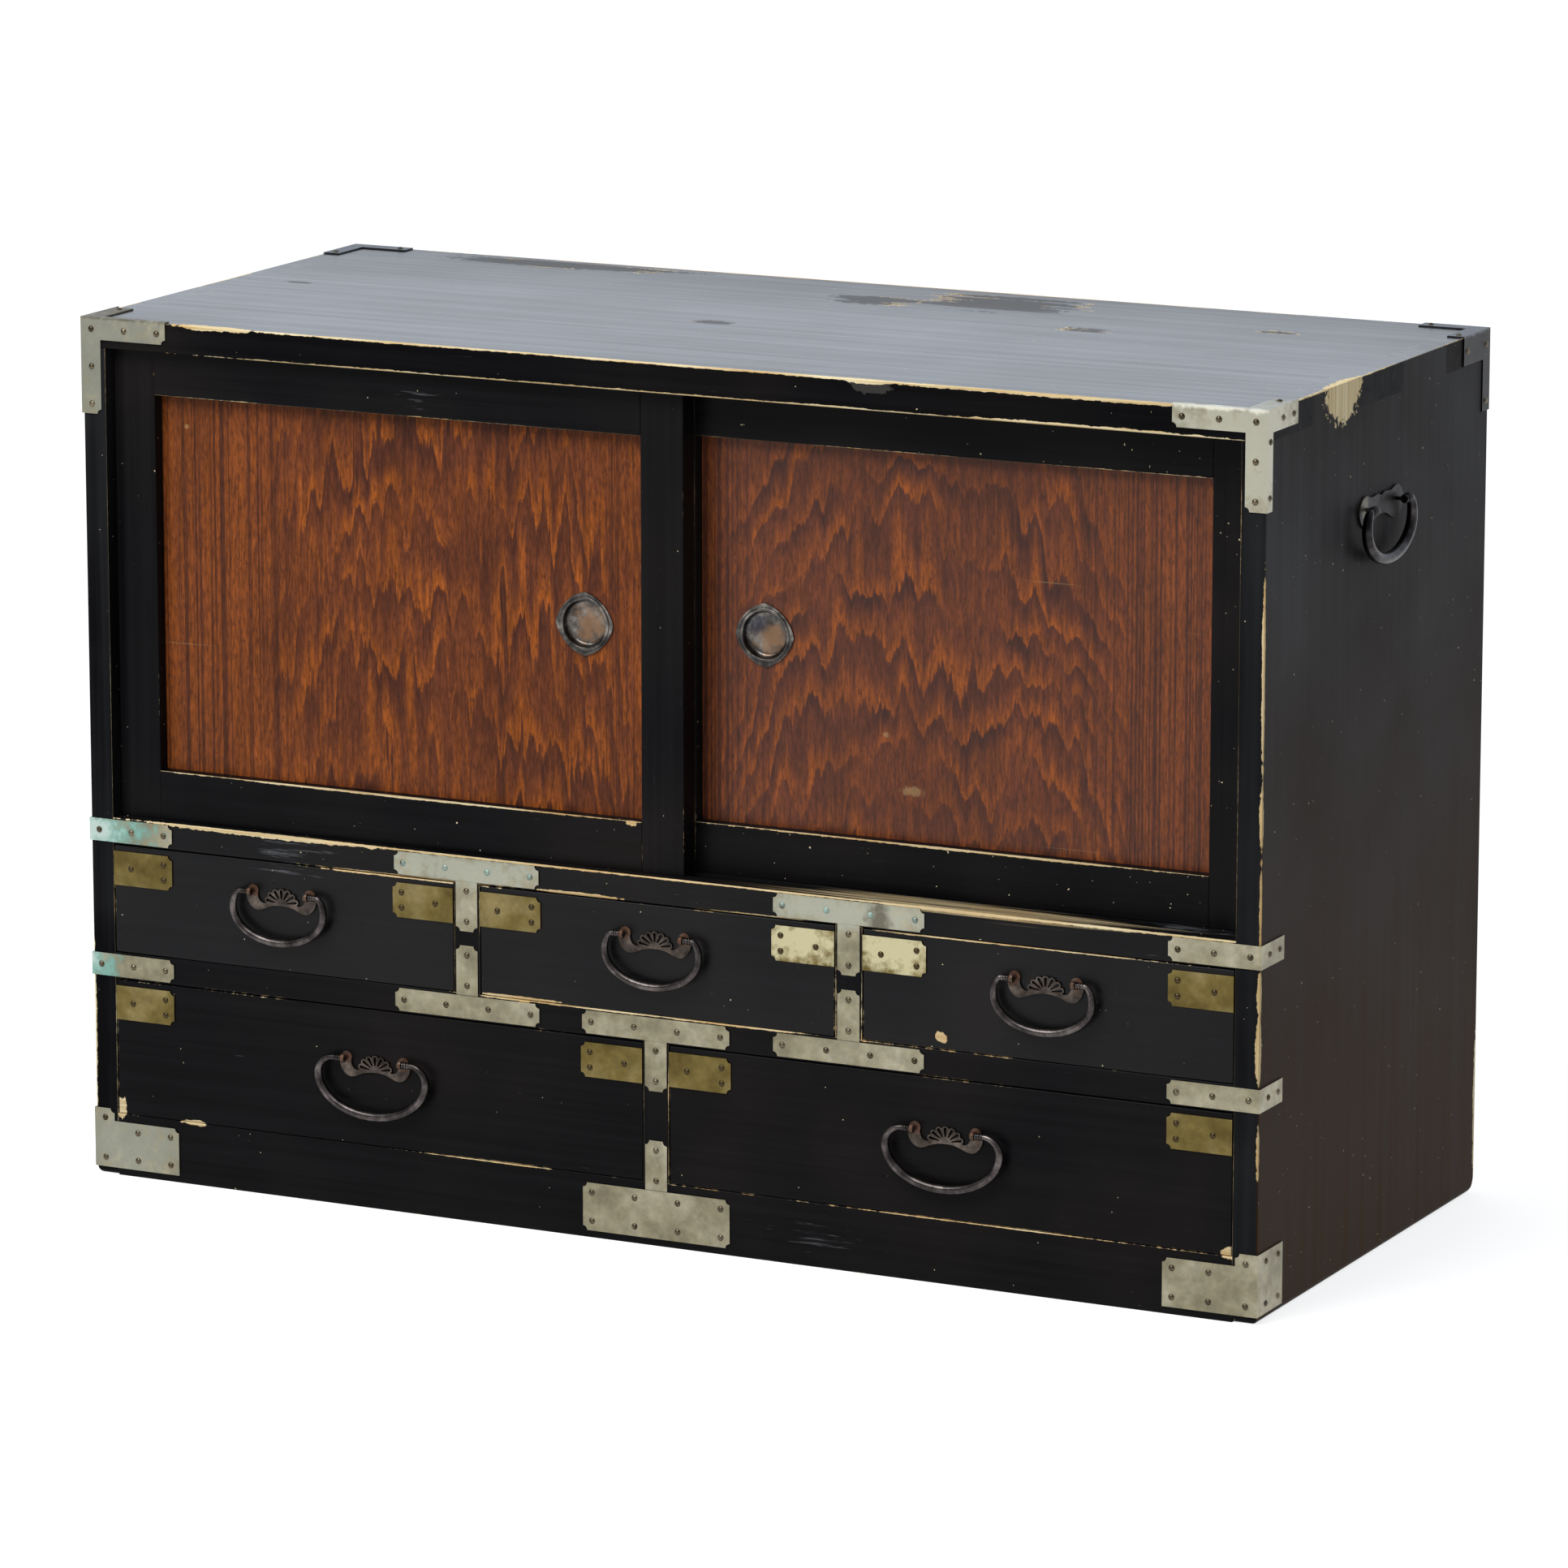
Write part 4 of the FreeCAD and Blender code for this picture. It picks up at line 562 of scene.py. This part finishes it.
# Pale ends at the front posts of the side handle plates: partly rubbed bare metal, partly a painted
# highlight.
RUBBED_AND_HIGHLIT_ENDS = [((side * 456, -27, 534), (14, 8, 9)) for side in (-1, 1)]
coat(aged_metal("blackened_sheet_iron", "#1C1B1C", "#2A292A", "#3B393A", 0.45, (12, 12, 12), patches=(
    ("#7E7A6E", 0.7, 0, RUBBED_AND_HIGHLIT_ENDS),)), "side_handle_plates")
coat(aged_metal("hand_worn_iron", "#322F2E", "#494443", "#68615F", 0.28, (12, 12, 12)),
     *[drawer + "_bail" for drawer in DRAWERS])
coat(aged_metal("forged_iron", "#201F20", "#302E2F", "#474445", 0.29, (12, 12, 12)),
     "left_side_bail", "right_side_bail")

# Studio: a pale paper floor and a white surround, which is darker on the camera's side, and one large
# soft lamp overhead. The camera sees the floor lifted to white, with the chest's shadow kept.
WHITE = "#FFFFFF"
FLOOR_GREY = "#B4B4B4"
FLOOR_SPAN = 40
FLOOR_LIFT = 0.74
WALL_BEHIND_CAMERA = "#A4A4A4"
WALL_BEHIND_CHEST = "#ECF4FF"
LAMP_PLACE = Vector((-0.8, -2.2, 2.8))
LAMP_AIM = Vector((0, 0, 0.3))
LAMP_SPAN = 2.2
LAMP_WATTS = 95
bpy.ops.mesh.primitive_plane_add(size=FLOOR_SPAN)
floor = bpy.context.object
floor.name = "floor"
paper, tree, shader = new_material("pale_floor")
shader.inputs["Base Color"].default_value = linear(FLOOR_GREY)
shader.inputs["Roughness"].default_value = 0.9
shader.inputs["Emission Color"].default_value = linear(WHITE)
rays = add(tree, "LightPath").outputs
seen = add(tree, "Math", {0: rays["Is Camera Ray"], 1: rays["Is Glossy Ray"]}, operation="MAXIMUM")
seen = add(tree, "Math", {0: seen, 1: rays["Is Transmission Ray"]}, operation="MAXIMUM")
lift = add(tree, "Math", {0: seen, 1: FLOOR_LIFT}, operation="MULTIPLY")
tree.links.new(lift.outputs[0], shader.inputs["Emission Strength"])
floor.data.materials.append(paper)

world = bpy.data.worlds.new("studio_surround")
bpy.context.scene.world = world
world.use_nodes = True
tree = world.node_tree
tree.nodes.clear()
rays = add(tree, "LightPath").outputs
direct = add(tree, "Math", {0: rays["Is Camera Ray"], 1: rays["Is Transmission Ray"]}, operation="MAXIMUM")
way = add(tree, "TexCoord").outputs["Generated"]
depth = add(tree, "SeparateXYZ", {0: way}).outputs["Y"]
behind = add(tree, "MapRange", {0: depth, 1: -0.3, 2: 0.5, 3: 0, 4: 1})
wall = add(tree, "Mix", {
    0: behind, 6: linear(WALL_BEHIND_CAMERA), 7: linear(WALL_BEHIND_CHEST)}, data_type="RGBA")
light = add(tree, "Mix", {0: direct, 6: wall, 7: linear(WHITE)}, data_type="RGBA")
sky = add(tree, "Background", {"Color": light, "Strength": 1})
add(tree, "OutputWorld", {"Surface": sky})

lamp = bpy.data.lights.new("key_softbox", "AREA")
lamp.shape = "DISK"
lamp.size = LAMP_SPAN
lamp.energy = LAMP_WATTS
lamp_holder = bpy.data.objects.new("key_softbox", lamp)
lamp_holder.location = LAMP_PLACE
lamp_holder.rotation_euler = (LAMP_AIM - LAMP_PLACE).to_track_quat("-Z", "Y").to_euler()
bpy.context.scene.collection.objects.link(lamp_holder)

# Camera: a long lens at the photograph's angle, to the right of the chest and a little above it.
# Its place and lens were fitted to the straight edges of the carcass.
LENS_MM = 186.08
SENSOR_MM = 36
CAMERA_PLACE = (2.5139, -5.0479, 1.5014)
CAMERA_DIP = 12.093
CAMERA_TURN = 26.442
camera = bpy.data.cameras.new("photo_camera")
camera.sensor_width = SENSOR_MM
camera.lens = LENS_MM
camera_holder = bpy.data.objects.new("photo_camera", camera)
camera_holder.location = CAMERA_PLACE
camera_holder.rotation_euler = (math.radians(90 - CAMERA_DIP), 0, math.radians(CAMERA_TURN))
bpy.context.scene.collection.objects.link(camera_holder)
bpy.context.scene.camera = camera_holder
bpy.context.scene.view_settings.view_transform = "Standard"
